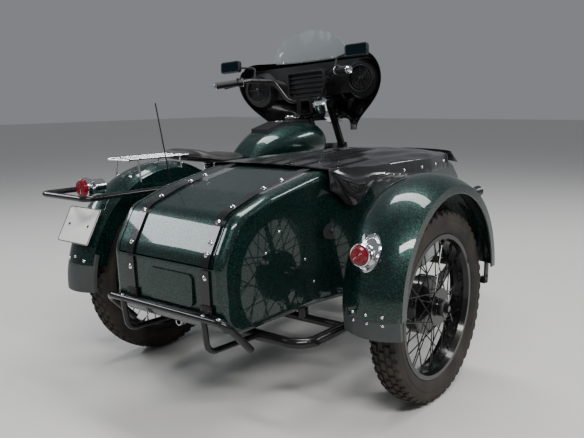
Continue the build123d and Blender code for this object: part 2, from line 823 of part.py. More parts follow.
# distance from the middle, along the bike and height of the bar's points on one side
bar_points = [
    (95, bar_y, bar_low_z),
    (165, bar_y + 30, 1160),
    (250, bar_y + 130, 1168),
    (bar_half_width, bar_y + 262, 1152),
]
grip_inner = Vector(*bar_points[2])
grip_outer = Vector(*bar_points[3])
grip_dir = (grip_outer - grip_inner).normalized()
with BuildPart() as handlebar:
    left_half = [(bike_x + x, y, z) for x, y, z in bar_points]
    right_half = [(bike_x - x, y, z) for x, y, z in reversed(bar_points)]
    tube(right_half + left_half, bar_tube, bend=38)
    for side in (-1, 1):
        x = bike_x + side * 38
        tube([(x, bar_y - 4, yoke_high_z + 2), (x, bar_y, bar_low_z + 12)], 15)
    add(fork_yokes.part, mode=Mode.SUBTRACT)

fork_yokes_ahead = fork_yokes.part
fork_yokes.part = fork_yokes.part.rotate(steering_axis, steering_at_rest)
fork_yokes.part.label = "fork_yokes"
export_step(fork_yokes.part, "parts/fork_yokes.step")

with BuildPart() as hand_controls:
    for side in (-1, 1):
        outer = Vector(bike_x + side * grip_outer.X, grip_outer.Y, grip_outer.Z)
        along = Vector(side * grip_dir.X, grip_dir.Y, grip_dir.Z)
        # start and end back from the bar's end, outer radius: end cap, grip, switch housing, lever clamp
        for start, end, radius in [
            (-8, 4, grip_radius - 4),
            (0, grip_length, grip_radius),
            (grip_length, grip_length + 26, 22),
        ]:
            with BuildSketch(Plane(origin=outer - along * start, z_dir=-along)):
                Circle(radius)
                Circle(bar_tube, mode=Mode.SUBTRACT)
            extrude(amount=end - start)
        clamp = outer - along * (grip_length + 14)
        lever = [
            clamp + Vector(0, -12, 0),
            clamp + Vector(side * 10, -52, -4),
            outer + Vector(side * -12, -62, -12),
        ]
        tube(lever, 6, bend=16)
    add(handlebar.part, mode=Mode.SUBTRACT)
hand_controls_ahead = hand_controls.part
hand_controls.part = hand_controls.part.rotate(steering_axis, steering_at_rest)
hand_controls.part = Part(children=hand_controls.part.solids())
hand_controls.part.label = "hand_controls"
export_step(hand_controls.part, "parts/hand_controls.step")

mirror_x = 372
mirror_z = 1254
mirror_width = 122
mirror_height = 60
with BuildPart() as mirrors:
    for side in (-1, 1):
        stalk_foot = Vector(bike_x + side * 236, bar_y + 114, 1168)
        head = Vector(bike_x + side * mirror_x, bar_y + 134, mirror_z)
        tube([stalk_foot, stalk_foot + Vector(side * 8, -30, 66), head + Vector(0, -12, 0)], 5, bend=16)
        with BuildSketch(Plane(origin=head, x_dir=(1, 0, 0), z_dir=(0, 1, 0.12))):
            RectangleRounded(mirror_width, mirror_height, 14)
        extrude(amount=-20)
    add(handlebar.part, mode=Mode.SUBTRACT)
    add(hand_controls_ahead, mode=Mode.SUBTRACT)
mirrors.part = mirrors.part.rotate(steering_axis, steering_at_rest)
mirrors.part = Part(children=mirrors.part.solids())
mirrors.part.label = "mirrors"
export_step(mirrors.part, "parts/mirrors.step")

# Round instrument on the upper yoke
speedometer_foot = steering_point(yoke_high_z, 4) + Vector(-98, 0, 0) + steering_dir * 8
with BuildPart() as speedometer:
    with BuildSketch(Plane(origin=speedometer_foot, z_dir=steering_dir)):
        Circle(36)
    with BuildSketch(Plane(origin=speedometer_foot + steering_dir * 40, z_dir=steering_dir)):
        Circle(41)
    loft()
    with BuildSketch(Plane(origin=speedometer_foot + steering_dir * 40, z_dir=steering_dir)):
        Circle(43)
    extrude(amount=9)
    with BuildSketch(Plane(origin=speedometer_foot + steering_dir * 49, z_dir=steering_dir)):
        Circle(37)
    extrude(amount=-4, mode=Mode.SUBTRACT)
    add(handlebar.part, mode=Mode.SUBTRACT)
speedometer.part = speedometer.part.rotate(steering_axis, steering_at_rest)
speedometer.part.label = "speedometer"
export_step(speedometer.part, "parts/speedometer.step")

handlebar.part = handlebar.part.rotate(steering_axis, steering_at_rest)
handlebar.part.label = "handlebar"
export_step(handlebar.part, "parts/handlebar.step")

# Fairing: a bent shell on the fork, an inner panel with the radio and a speaker pod each side, a low screen
fairing_wall = 5
head_y = steering_y(head_top_z)
# height, half width, where the wings end and where the nose is, both counted back from the steering head
fairing_levels = [
    (868, 236, -100, -250),
    (980, 330, -62, -306),
    (1125, 427, -17, -316),
    (1215, 410, 0, -256),
    (1268, 313, -32, -180),
]
fork_arch_width = 320
fork_arch_top_z = 935

with BuildPart() as headlamp:
    lamp_plane = Plane(origin=(bike_x, head_y - 231, 1010), x_dir=(1, 0, 0), z_dir=(0, -1, 0))
    with BuildSketch(lamp_plane):
        Circle(62)
    with BuildSketch(lamp_plane.offset(80)):
        Circle(92)
    loft()
    with BuildSketch(lamp_plane.offset(80)):
        Circle(98)
    extrude(amount=24, taper=10)

with BuildPart() as fairing_inside:
    for z, half, wing, nose in fairing_levels:
        right_end = (bike_x - half + fairing_wall, head_y + wing)
        left_end = (bike_x + half - fairing_wall, head_y + wing)
        with BuildSketch(Plane.XY.offset(z)):
            with BuildLine():
                ThreePointArc(right_end, (bike_x, head_y + nose + fairing_wall), left_end)
                Line(left_end, right_end)
            make_face()
    loft()

with BuildPart() as fairing_shell:
    for z, half, wing, nose in fairing_levels:
        right_end = (bike_x - half, head_y + wing)
        left_end = (bike_x + half, head_y + wing)
        inner_right = (bike_x - half + fairing_wall, head_y + wing)
        inner_left = (bike_x + half - fairing_wall, head_y + wing)
        with BuildSketch(Plane.XY.offset(z)):
            with BuildLine():
                ThreePointArc(right_end, (bike_x, head_y + nose), left_end)
                Line(left_end, inner_left)
                ThreePointArc(inner_left, (bike_x, head_y + nose + fairing_wall), inner_right)
                Line(inner_right, right_end)
            make_face()
    loft()
    with BuildSketch(Plane.XZ.offset(-head_y)):
        with Locations((bike_x, fork_arch_top_z - 75)):
            RectangleRounded(fork_arch_width, 150, 60)
    extrude(amount=500, mode=Mode.SUBTRACT)
    add(headlamp.part, mode=Mode.SUBTRACT)

dash_y = head_y - 70
dash_wall = 8
radio_width = 205
radio_height = 118
radio_z = 1128
radio_depth = 64
slat_count = 4
pod_x = 313
pod_z = 1127
pod_radius = 104
pod_depth = 52
speaker_radius = 64
with BuildPart() as fairing_dash:
    with BuildSketch(Plane.XZ.offset(-dash_y)):
        with Locations((bike_x, 1150)):
            RectangleRounded(760, 172, 30)
        with Locations((bike_x - pod_x, pod_z), (bike_x + pod_x, pod_z)):
            Circle(pod_radius)
    extrude(amount=dash_wall)
    for side in (-1, 1):
        pod = Plane(origin=(bike_x + side * pod_x, dash_y, pod_z), x_dir=(1, 0, 0), z_dir=(0, 1, 0))
        with BuildSketch(pod):
            Circle(pod_radius)
        with BuildSketch(pod.offset(pod_depth)):
            Circle(pod_radius - 22)
        loft()
        with BuildSketch(pod.offset(pod_depth)):
            Circle(speaker_radius)
        extrude(amount=-14, mode=Mode.SUBTRACT)
    add(fairing_inside.part, mode=Mode.INTERSECT)
    with BuildSketch(Plane.XZ.offset(-dash_y - radio_depth)):
        with Locations((bike_x, radio_z)):
            RectangleRounded(radio_width + 32, radio_height + 32, 22)
    extrude(amount=radio_depth)
    with BuildSketch(Plane.XZ.offset(-dash_y - radio_depth)):
        with Locations((bike_x, radio_z)):
            RectangleRounded(radio_width, radio_height, 8)
    extrude(amount=22, mode=Mode.SUBTRACT)
    for slat in range(slat_count):
        z = radio_z + (slat - (slat_count - 1) / 2) * radio_height / (slat_count + 0.6)
        with Locations((bike_x, dash_y + radio_depth - 16, z)):
            Box(radio_width, 12, 7)
    add(fairing_shell.part, mode=Mode.SUBTRACT)

with BuildPart() as fairing_bracket:
    for side in (-1, 1):
        leg_x = bike_x + side * fork_half_track
        upper = Vector(leg_x, front_axle_y + (1000 - axle_z) * tan(radians(rake)), 1000)
        lower = Vector(leg_x, front_axle_y + (930 - axle_z) * tan(radians(rake)), 930)
        panel_back_y = dash_y - dash_wall - 6
        tube([upper, (leg_x, panel_back_y - 6, 1030), (leg_x, panel_back_y, 1090)], 7, bend=12)
        tube([lower, (leg_x, head_y - 190, 960), (bike_x + side * 40, head_y - 226, 985)], 9, bend=30)
    add(fork_legs_ahead, mode=Mode.SUBTRACT)
    add(fork_yokes_ahead, mode=Mode.SUBTRACT)
    add(fairing_dash.part, mode=Mode.SUBTRACT)
    add(headlamp.part, mode=Mode.SUBTRACT)
fairing_bracket.part = fairing_bracket.part.rotate(steering_axis, steering_at_rest)
fairing_bracket.part = Part(children=fairing_bracket.part.solids().sort_by(SortBy.VOLUME)[-4:])
fairing_bracket.part.label = "fairing_bracket"
export_step(fairing_bracket.part, "parts/fairing_bracket.step")

fairing_dash.part = fairing_dash.part.rotate(steering_axis, steering_at_rest)
fairing_dash.part.label = "fairing_dash"
export_step(fairing_dash.part, "parts/fairing_dash.step")

screen_wall = 4
screen_half_width = 222
screen_base_z = 1260
screen_height = 156
with BuildPart() as windscreen:
    # height, half width, where the sides end and where the middle is
    for z, half, side_end, middle in [(screen_base_z, 246, -78, -176), (screen_base_z + 170, 210, -4, -70)]:
        with BuildSketch(Plane.XY.offset(z)):
            with BuildLine():
                ThreePointArc(
                    (bike_x - half, head_y + side_end),
                    (bike_x, head_y + middle),
                    (bike_x + half, head_y + side_end),
                )
                Line(
                    (bike_x + half, head_y + side_end),
                    (bike_x + half - screen_wall, head_y + side_end + screen_wall),
                )
                ThreePointArc(
                    (bike_x + half - screen_wall, head_y + side_end + screen_wall),
                    (bike_x, head_y + middle + screen_wall),
                    (bike_x - half + screen_wall, head_y + side_end + screen_wall),
                )
                Line(
                    (bike_x - half + screen_wall, head_y + side_end + screen_wall),
                    (bike_x - half, head_y + side_end),
                )
            make_face()
    loft()
    with BuildSketch(Plane.XZ.offset(-head_y - 200)):
        with Locations((bike_x, screen_base_z)):
            Ellipse(screen_half_width, screen_height)
    extrude(amount=600, mode=Mode.INTERSECT)
    add(fairing_shell.part, mode=Mode.SUBTRACT)
windscreen.part = windscreen.part.solids().sort_by(SortBy.VOLUME)[-1]
windscreen.part = windscreen.part.rotate(steering_axis, steering_at_rest)
windscreen.part.label = "windscreen"
export_step(windscreen.part, "parts/windscreen.step")

fairing_shell.part = fairing_shell.part.rotate(steering_axis, steering_at_rest)
fairing_shell.part.label = "fairing_shell"
export_step(fairing_shell.part, "parts/fairing_shell.step")

headlamp.part = headlamp.part.rotate(steering_axis, steering_at_rest)
headlamp.part.label = "headlamp"
export_step(headlamp.part, "parts/headlamp.step")

# Sidecar frame: a tube loop under the tub, four struts to the bike, the wheel's arm and its damper
with BuildPart() as sidecar_frame:
    loop = [
        (sidecar_frame_inner_x, sidecar_frame_rear_y - 300, sidecar_frame_z),
        (sidecar_frame_inner_x, sidecar_frame_rear_y, sidecar_frame_z),
        (sidecar_frame_outer_x, sidecar_frame_rear_y, sidecar_frame_z),
        (sidecar_frame_outer_x, -60, sidecar_frame_z),
        (sidecar_frame_outer_x + 110, sidecar_frame_front_y, sidecar_frame_z),
        (sidecar_frame_inner_x, sidecar_frame_front_y, sidecar_frame_z),
    ]
    tube(loop, sidecar_tube, bend=70)
    tube([loop[0], loop[-1]], sidecar_tube)
    for y in (-60, 230, 660):
        tube([(sidecar_frame_inner_x, y, sidecar_frame_z), (sidecar_frame_outer_x, y, sidecar_frame_z)], 15)
        for x in (60, -340):
            with Locations((x, y, (sidecar_frame_z + tub_floor_z) / 2)):
                Cylinder(20, tub_floor_z - sidecar_frame_z)
    for y, z in [(290, 668), (690, 650)]:
        tube([(sidecar_frame_outer_x, y - 40, sidecar_frame_z), (-620, y, z)], 9)
sidecar_frame.part.label = "sidecar_frame"
export_step(sidecar_frame.part, "parts/sidecar_frame.step")

with BuildPart() as sidecar_struts:
    strut_x = bike_x - frame_half_width
    # where each strut starts on the bike, and how far along the sidecar's inner tube it ends
    for bike_end, sidecar_end_y in [
        (Vector(strut_x, cradle_front_y + 40, cradle_z), sidecar_frame_front_y + 96),
        (Vector(strut_x, seat_post_y - 20, cradle_z), seat_post_y + 38),
        (Vector(bike_x - 50, cradle_front_y - 14, 640), sidecar_frame_front_y + 10),
        (Vector(strut_x, seat_post_y, 425), 500),
    ]:
        sidecar_end = Vector(sidecar_frame_inner_x, sidecar_end_y, sidecar_frame_z)
        along = (sidecar_end - bike_end).normalized()
        tube([bike_end, sidecar_end], 11)
        tube([bike_end, bike_end + along * 46], 19)
        tube([sidecar_end - along * 54, sidecar_end], 19)
    add(bike_frame.part, mode=Mode.SUBTRACT)
    add(sidecar_frame.part, mode=Mode.SUBTRACT)
sidecar_struts.part = Part(children=sidecar_struts.part.solids().sort_by(SortBy.VOLUME)[-4:])
sidecar_struts.part.label = "sidecar_struts"
export_step(sidecar_struts.part, "parts/sidecar_struts.step")

arm_inner_x = -575
trailing_y = 220
trailing_z = sidecar_frame_z + 14
damper_top = (arm_inner_x + 10, sidecar_wheel_y + 40, axle_z + 250)
with BuildPart() as sidecar_suspension:
    # the ends of each straight tube and its radius
    for start, end, radius in [
        ((sidecar_frame_outer_x, trailing_y, trailing_z), (arm_inner_x - 26, trailing_y, trailing_z), 22),
        ((arm_inner_x, trailing_y, trailing_z), (arm_inner_x, sidecar_wheel_y + 20, axle_z), 19),
        (
            (arm_inner_x - 6, sidecar_wheel_y, axle_z),
            (sidecar_wheel_x - hub_half_width - 22, sidecar_wheel_y, axle_z),
            axle_radius,
        ),
        ((arm_inner_x, sidecar_wheel_y - 30, axle_z), damper_top, 24),
    ]:
        tube([start, end], radius)
    brake_centre = (arm_inner_x - 8, sidecar_wheel_y, axle_z)
    with BuildSketch(Plane(origin=brake_centre, x_dir=(0, 1, 0), z_dir=(-1, 0, 0))):
        Circle(46)
    extrude(amount=abs(sidecar_wheel_x - arm_inner_x) - hub_half_width - 16)
    bracket = [
        (sidecar_frame_outer_x, sidecar_wheel_y + 10, sidecar_frame_z),
        (arm_inner_x + 30, sidecar_wheel_y + 60, axle_z + 150),
        (arm_inner_x + 10, sidecar_wheel_y + 40, axle_z + 255),
    ]
    tube(bracket, 13)
    add(sidecar_frame.part, mode=Mode.SUBTRACT)
sidecar_suspension.part.label = "sidecar_suspension"
export_step(sidecar_suspension.part, "parts/sidecar_suspension.step")


# Tub: its outline seen from above and its outline seen from the side, each as corners with a bend
# x, y, bend of the outline from above
tub_plan = [
    (tub_left_x, tub_rear_y + 60, 40),
    (tub_right_x, tub_rear_y + 60, 40),
    (tub_right_x, 640, 400),
    (tub_bulge_x, 330, 400),
    (tub_bulge_x, -60, 400),
    (-310, -700, 200),
    (-215, -850, 70),
    (-95, -850, 70),
    (-62, -640, 150),
    (-42, -420, 300),
    (tub_left_x, 340, 300),
]
# y, z, bend of the outline from the side
tub_side = [
    (tub_rear_y - 10, tub_floor_z, 85),
    (tub_rear_y, 560, 110),
    (1062, 692, 90),
    (900, 745, 200),
    (deck_front_y, deck_front_z, 500),
    (cowl_y, cowl_z, 200),
    (-560, 735, 200),
    (-850, 580, 60),
    (-800, 440, 80),
    (-420, tub_floor_z, 200),
]


def outline(table):
    # a closed outline through the table's corners, rounded by the bend in its last column
    corners = [(across, along) for across, along, bend in table]
    return FilletPolyline(*corners, radius=[bend for across, along, bend in table], close=True)


def tub_block(inset):
    # the solid where both outlines agree, made smaller all round by the inset
    with BuildSketch(Plane.XY.offset(250)) as plan:
        with BuildLine():
            outline(tub_plan)
        make_face()
        if inset:
            offset(amount=-inset)
    extrude(plan.sketch, amount=620)
    with BuildSketch(Plane.YZ.offset(-560)) as side:
        with BuildLine():
            outline(tub_side)
        make_face()
        if inset:
            offset(amount=-inset)
    extrude(side.sketch, amount=800, mode=Mode.INTERSECT)


with BuildPart() as tub_outer:
    tub_block(0)
    fillet(tub_outer.edges().filter_by_position(Axis.Z, 640, 810), tub_edge)
with BuildPart() as tub_inner:
    tub_block(tub_wall)
    fillet(tub_inner.edges().filter_by_position(Axis.Z, 640, 810), tub_edge - tub_wall)
bulkhead_y = deck_front_y - 10

# Raised panel between the straps on the lower rear
panel_x = -168
panel_z = 460
panel_width = 206
panel_height = 104

# The lid's place in the tub's skin: seen from above, cut at the seam on the rear panel
lid_left = tub_left_x - lid_side_inset
lid_right = tub_right_x + lid_side_inset
with BuildPart() as lid_zone:
    with BuildSketch(Plane.YZ.offset(lid_right)):
        with BuildLine():
            Polyline(
                (deck_front_y + 6, 900),
                (deck_front_y + 6, 770),
                (1040, 600),
                (1060, seam_z),
                (1200, seam_z),
                (1200, 900),
                close=True,
            )
        make_face()
    extrude(amount=lid_left - lid_right)

with BuildPart() as bulkhead:
    with BuildSketch(Plane.XZ.offset(-bulkhead_y)):
        Rectangle(2000, 2000)
    extrude(amount=tub_wall)
    add(tub_inner.part, mode=Mode.INTERSECT)

# Straps run over the lid and down the rear panel, cut where the lid parts from the tub
with BuildPart() as straps:
    with BuildSketch(Plane.YZ.offset(strap_left_x - strap_width / 2)) as strap_profile:
        with BuildLine():
            outline(tub_side)
        make_face()
        offset(amount=strap_height)
    extrude(strap_profile.sketch, amount=strap_width)
    extrude(strap_profile.sketch.moved(Location((strap_right_x - strap_left_x, 0, 0))), amount=strap_width)
    add(tub_outer.part, mode=Mode.SUBTRACT)

with BuildPart() as tub:
    add(tub_outer.part)
    add(tub_inner.part, mode=Mode.SUBTRACT)
    add(bulkhead.part)
    add(lid_zone.part, mode=Mode.SUBTRACT)
    with BuildSketch(Plane.XY.offset(760)):
        with BuildLine():
            FilletPolyline(
                (tub_left_x - 46, deck_front_y - 40),
                (tub_right_x + 30, deck_front_y - 40),
                (tub_bulge_x + 48, 330),
                (tub_bulge_x + 48, -60),
                (-400, -290),
                (-20, -290),
                (tub_left_x - 50, 300),
                radius=60,
                close=True,
            )
        make_face()
    extrude(amount=90, mode=Mode.SUBTRACT)
    with BuildSketch(Plane.XZ.offset(-tub_rear_y - 4)):
        with Locations((panel_x, panel_z)):
            RectangleRounded(panel_width, panel_height, 18)
    extrude(amount=7)
    with BuildSketch(Plane.YZ.offset(-600)) as lower_straps:
        with BuildLine():
            Polyline((1060, 400), (1200, 400), (1200, seam_z - lid_gap), (1060, seam_z - lid_gap), close=True)
        make_face()
    add(straps.part.intersect(extrude(lower_straps.sketch, amount=900, mode=Mode.PRIVATE)))
tub.part.label = "tub"
export_step(tub.part, "parts/tub.step")

# Boot lid: the same skin, a gap smaller all round, with its straps
with BuildPart() as boot_lid:
    add(tub_outer.part)
    add(tub_inner.part, mode=Mode.SUBTRACT)
    add(straps.part)
    with BuildSketch(Plane.YZ.offset(lid_right + lid_gap)):
        with BuildLine():
            Polyline(
                (deck_front_y + 6 + lid_gap, 900),
                (deck_front_y + 6 + lid_gap, 770),
                (1040, 600 + lid_gap),
                (1060, seam_z + lid_gap),
                (1200, seam_z + lid_gap),
                (1200, 900),
                close=True,
            )
        make_face()
    extrude(amount=lid_left - lid_right - 2 * lid_gap, mode=Mode.INTERSECT)
boot_lid.part.label = "boot_lid"
export_step(boot_lid.part, "parts/boot_lid.step")

# Bumper bar behind the tub
bumper_y = 1128
bumper_z = 385
with BuildPart() as bumper_bar:
    bar = [
        (tub_left_x + 24, 1040, sidecar_frame_z + 10),
        (tub_left_x + 24, bumper_y + 24, bumper_z),
        (tub_right_x - 26, bumper_y + 24, bumper_z),
        (tub_right_x - 26, 1040, sidecar_frame_z + 10),
    ]
    tube(bar, 12, bend=36)
    for x in (60, -330):
        stay = [
            (x, sidecar_frame_rear_y, sidecar_frame_z),
            (x, bumper_y + 10, sidecar_frame_z + 8),
            (x, bumper_y + 26, bumper_z),
        ]
        tube(stay, 10, bend=40)
    add(sidecar_frame.part, mode=Mode.SUBTRACT)
bumper_bar.part.label = "bumper_bar"
export_step(bumper_bar.part, "parts/bumper_bar.step")

# Cover over the cockpit: a closed soft cap whose skirt hangs outside the tub
cover_gap = 2
cover_cloth = 7
cover_plan = outline(tub_plan)
cover_front_y = -345
with BuildPart() as under_cover:
    with BuildSketch(Plane.XY.offset(690)):
        make_face(cover_plan)
        offset(amount=cover_gap)
    extrude(amount=200)
    with BuildSketch(Plane.YZ.offset(-560)):
        with BuildLine():
            Polyline(
                (700, 600),
                (700, deck_front_z - 9),
                (deck_front_y, deck_front_z + 1),
                (cowl_y, cowl_z + 1),
                (-560, 737),
                (-560, 600),
                close=True,
            )
        make_face()
    extrude(amount=800, mode=Mode.INTERSECT)

with BuildPart() as tonneau_cover:
    with BuildSketch(Plane.XY.offset(690)):
        make_face(cover_plan)
        offset(amount=cover_gap + cover_cloth)
    extrude(amount=200)
    with BuildSketch(Plane.YZ.offset(-560)):
        with BuildLine():
            rear_top = (560, deck_front_z + 14)
            front_top = (cover_front_y + 40, cowl_z + 16)
            Polyline((605, 735), (605, deck_front_z + 10), rear_top)
            ThreePointArc(rear_top, (120, deck_front_z + 44), front_top)
            Polyline(front_top, (cover_front_y, cowl_z + 2), (cover_front_y, 735), (605, 735))
        make_face()
    extrude(amount=800, mode=Mode.INTERSECT)
    add(under_cover.part, mode=Mode.SUBTRACT)
tonneau_cover.part.label = "tonneau_cover"
export_step(tonneau_cover.part, "parts/tonneau_cover.step")

# Low tinted screen on the cowl ahead of the cockpit
with BuildPart() as tub_screen:
    # height, where the ends are, where the middle is, half width
    for z, end_y, middle_y, half in [(752, -420, -520, 240), (806, -375, -470, 225)]:
        left = -190 - half
        right = -190 + half
        with BuildSketch(Plane.XY.offset(z)):
            with BuildLine():
                ThreePointArc((left, end_y), (-190, middle_y), (right, end_y))
                Line((right, end_y), (right - 4, end_y + 4))
                ThreePointArc((right - 4, end_y + 4), (-190, middle_y + 4), (left + 4, end_y + 4))
                Line((left + 4, end_y + 4), (left, end_y))
            make_face()
    loft()
    add(tub.part, mode=Mode.SUBTRACT)
tub_screen.part = tub_screen.part.solids().sort_by(SortBy.VOLUME)[-1]
tub_screen.part.label = "tub_screen"
export_step(tub_screen.part, "parts/tub_screen.step")

# Whip aerial on the hoop beside the bike's fender
with BuildPart() as aerial:
    with BuildSketch(Plane(origin=(285, 716, 690), z_dir=(0, 0.2, 1))):
        Circle(9)
    extrude(amount=30)
    tube([(285, 716, 700), (285, 782, 1040)], 2.5)
    add(rear_hoop.part, mode=Mode.SUBTRACT)
aerial.part.label = "aerial"
export_step(aerial.part, "parts/aerial.step")
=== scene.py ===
# Sidecar outfit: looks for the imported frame, in metres, facing -Y with the sidecar on -X
import json
import math
import random

import bmesh
import bpy
from mathutils import Matrix, Quaternion, Vector


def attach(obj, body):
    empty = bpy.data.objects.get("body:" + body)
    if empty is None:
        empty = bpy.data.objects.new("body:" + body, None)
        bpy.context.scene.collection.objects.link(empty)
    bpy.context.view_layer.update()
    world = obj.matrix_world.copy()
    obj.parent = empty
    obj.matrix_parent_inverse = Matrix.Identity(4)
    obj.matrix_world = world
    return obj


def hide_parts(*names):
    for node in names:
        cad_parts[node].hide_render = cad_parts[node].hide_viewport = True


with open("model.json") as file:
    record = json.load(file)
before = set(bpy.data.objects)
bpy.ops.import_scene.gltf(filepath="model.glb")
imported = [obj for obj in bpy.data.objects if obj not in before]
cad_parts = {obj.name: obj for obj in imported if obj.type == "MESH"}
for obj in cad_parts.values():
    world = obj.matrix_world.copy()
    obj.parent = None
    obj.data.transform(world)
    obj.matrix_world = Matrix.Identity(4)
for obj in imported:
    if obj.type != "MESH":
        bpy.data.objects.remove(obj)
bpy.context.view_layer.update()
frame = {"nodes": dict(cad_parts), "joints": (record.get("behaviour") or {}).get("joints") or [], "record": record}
nodes = frame["nodes"]
print("frame loaded:", len(nodes), "nodes")


# places and directions that many pieces share
bikeX = 0.425
axleZ = 0.338
farOut = 1.5  # further out than any piece, for the lines that find a surface
weldDistance = 0.00002
sides = (-1, 1)
leftwards, rightwards = Vector((1, 0, 0)), Vector((-1, 0, 0))
backwards, forwards = Vector((0, 1, 0)), Vector((0, -1, 0))
upwards, downwards = Vector((0, 0, 1)), Vector((0, 0, -1))

# steered pieces are modelled straight ahead, then turned with the fork to its rest angle
steering = next(joint for joint in frame["joints"] if joint["name"] == "steering")
steeringRest = math.radians(10)
steeringPoint = Vector(steering["pos_m"])
steered = (
    Matrix.Translation(steeringPoint)
    @ Matrix.Rotation(steeringRest, 4, Vector(steering["axis"]))
    @ Matrix.Translation(-steeringPoint)
)
forkRake = math.radians(28)
forkAxis = Vector((0, math.sin(forkRake), math.cos(forkRake)))


def addObject(name, data):
    made = bpy.data.objects.new(name, data)
    bpy.context.scene.collection.objects.link(made)
    return made


def meshFrom(bm, name, material):
    mesh = bpy.data.meshes.new(name)
    bm.to_mesh(mesh)
    bm.free()
    mesh.materials.append(material)
    return mesh


def makePiece(build, values, name, body, slotName, sharp=40, matrix=None, material=None):
    bm = bmesh.new()
    build(bm, values)
    bmesh.ops.remove_doubles(bm, verts=bm.verts, dist=weldDistance)
    bmesh.ops.recalc_face_normals(bm, faces=bm.faces)
    if matrix is not None:
        bmesh.ops.transform(bm, matrix=matrix, verts=bm.verts)
    mesh = meshFrom(bm, name, material or materials[slotName])
    mesh.shade_smooth()
    mesh.set_sharp_from_angle(angle=math.radians(sharp))
    piece = addObject(name, mesh)
    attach(piece, body)
    return piece


# shader nodes: sockets take a plain value or the output of another node
def fillSockets(tree, sockets, values):
    for name, value in values.items():
        if isinstance(value, bpy.types.NodeSocket):
            tree.links.new(value, sockets[name])
        else:
            sockets[name].default_value = value


def addNode(tree, kind, values=None, **settings):
    node = tree.nodes.new("ShaderNode" + kind)
    for name, value in settings.items():
        setattr(node, name, value)
    fillSockets(tree, node.inputs, values or {})
    return node.outputs


def nodeGroup(name, values, outputs):
    group = bpy.data.node_groups.new(name, "ShaderNodeTree")
    for socketName, value in values.items():
        kind = "NodeSocketFloat" if isinstance(value, float) else "NodeSocketColor"
        group.interface.new_socket(socketName, in_out="INPUT", socket_type=kind).default_value = value
    for socketName, kind in outputs.items():
        group.interface.new_socket(socketName, in_out="OUTPUT", socket_type="NodeSocket" + kind)
    given = group.nodes.new("NodeGroupInput").outputs
    results = group.nodes.new("NodeGroupOutput").inputs
    return group, given, results


def mixColors(tree, factor, first, second):
    return addNode(tree, "Mix", {"Factor": factor, 6: first, 7: second}, data_type="RGBA")[2]


surfaceOutputs = {"Color": "Color", "Roughness": "Float", "Normal": "Vector"}


def metalFlakeGroup():
    group, given, results = nodeGroup(
        "metalFlake",
        {"Base": (0.01, 0.05, 0.04, 1), "Flake": (0.05, 0.4, 0.3, 1), "Scale": 420.0, "Amount": 0.5},
        surfaceOutputs,
    )
    place = addNode(group, "TexCoord")["Object"]
    cells = addNode(group, "TexVoronoi", {"Vector": place, "Scale": given["Scale"]})
    split = addNode(group, "SeparateColor", {0: cells["Color"]})
    spark = addNode(group, "MapRange", {"Value": split[0], "From Min": 0.55, "From Max": 1.0})
    share = addNode(group, "Math", {0: spark[0], 1: given["Amount"]}, operation="MULTIPLY")
    tilt = addNode(group, "Bump", {"Height": split[1], "Strength": 0.16, "Distance": 0.001})
    rough = addNode(group, "MapRange", {"Value": split[2], "To Min": 0.24, "To Max": 0.42})
    color = mixColors(group, share[0], given["Base"], given["Flake"])
    fillSockets(group, results, {"Color": color, "Roughness": rough[0], "Normal": tilt[0]})
    return group


def surfaceWearGroup():
    # dust and rubbed patches: mixes a second colour and roughness over the first, with a fine bump
    group, given, results = nodeGroup(
        "surfaceWear",
        {
            "Base": (0.02, 0.02, 0.02, 1), "Dust": (0.2, 0.18, 0.15, 1), "Dust Amount": 0.2,
            "Patch Scale": 9.0, "Grain Scale": 700.0, "Grain Depth": 0.2, "Rough Low": 0.3, "Rough High": 0.5,
        },
        surfaceOutputs,
    )
    place = addNode(group, "TexCoord")["Object"]
    patches = addNode(group, "TexNoise", {"Vector": place, "Scale": given["Patch Scale"], "Detail": 6.0})
    contrast = addNode(group, "MapRange", {"Value": patches["Fac"], "From Min": 0.35, "From Max": 0.72})
    share = addNode(group, "Math", {0: contrast[0], 1: given["Dust Amount"]}, operation="MULTIPLY")
    color = mixColors(group, share[0], given["Base"], given["Dust"])
    rough = addNode(
        group, "MapRange", {"Value": contrast[0], "To Min": given["Rough Low"], "To Max": given["Rough High"]}
    )
    grain = addNode(group, "TexNoise", {"Vector": place, "Scale": given["Grain Scale"], "Detail": 3.0})
    relief = {"Height": grain["Fac"], "Strength": given["Grain Depth"], "Distance": 0.001}
    bump = addNode(group, "Bump", relief)
    fillSockets(group, results, {"Color": color, "Roughness": rough[0], "Normal": bump[0]})
    return group


def strapMaskGroup():
    # one on the two straps over the boot, nought elsewhere
    group, given, results = nodeGroup(
        "strapMask",
        {"Left": 0.025, "Right": -0.33, "Half Width": 0.0175, "Front": 0.615, "Foot": 0.395},
        {"Mask": "Float"},
    )
    split = addNode(group, "SeparateXYZ", {0: addNode(group, "TexCoord")["Object"]})

    def step(operation, *terms):
        return addNode(group, "Math", dict(enumerate(terms)), operation=operation)[0]

    left = step("COMPARE", split[0], given["Left"], given["Half Width"])
    right = step("COMPARE", split[0], given["Right"], given["Half Width"])
    behind = step("GREATER_THAN", split[1], given["Front"])
    above = step("GREATER_THAN", split[2], given["Foot"])
    mask = step("MULTIPLY", step("MULTIPLY", step("MAXIMUM", left, right), behind), above)
    fillSockets(group, results, {"Mask": mask})
    return group


def newMaterial(name, sockets, group=None, values=None):
    material = bpy.data.materials.new(name)
    material.use_nodes = True
    tree = material.node_tree
    shader = tree.nodes["Principled BSDF"]
    fillSockets(tree, shader.inputs, sockets)
    if group:
        made = addNode(tree, "Group", values, node_tree=group)
        links = {"Base Color": made["Color"], "Roughness": made["Roughness"], "Normal": made["Normal"]}
        fillSockets(tree, shader.inputs, links)
    return material


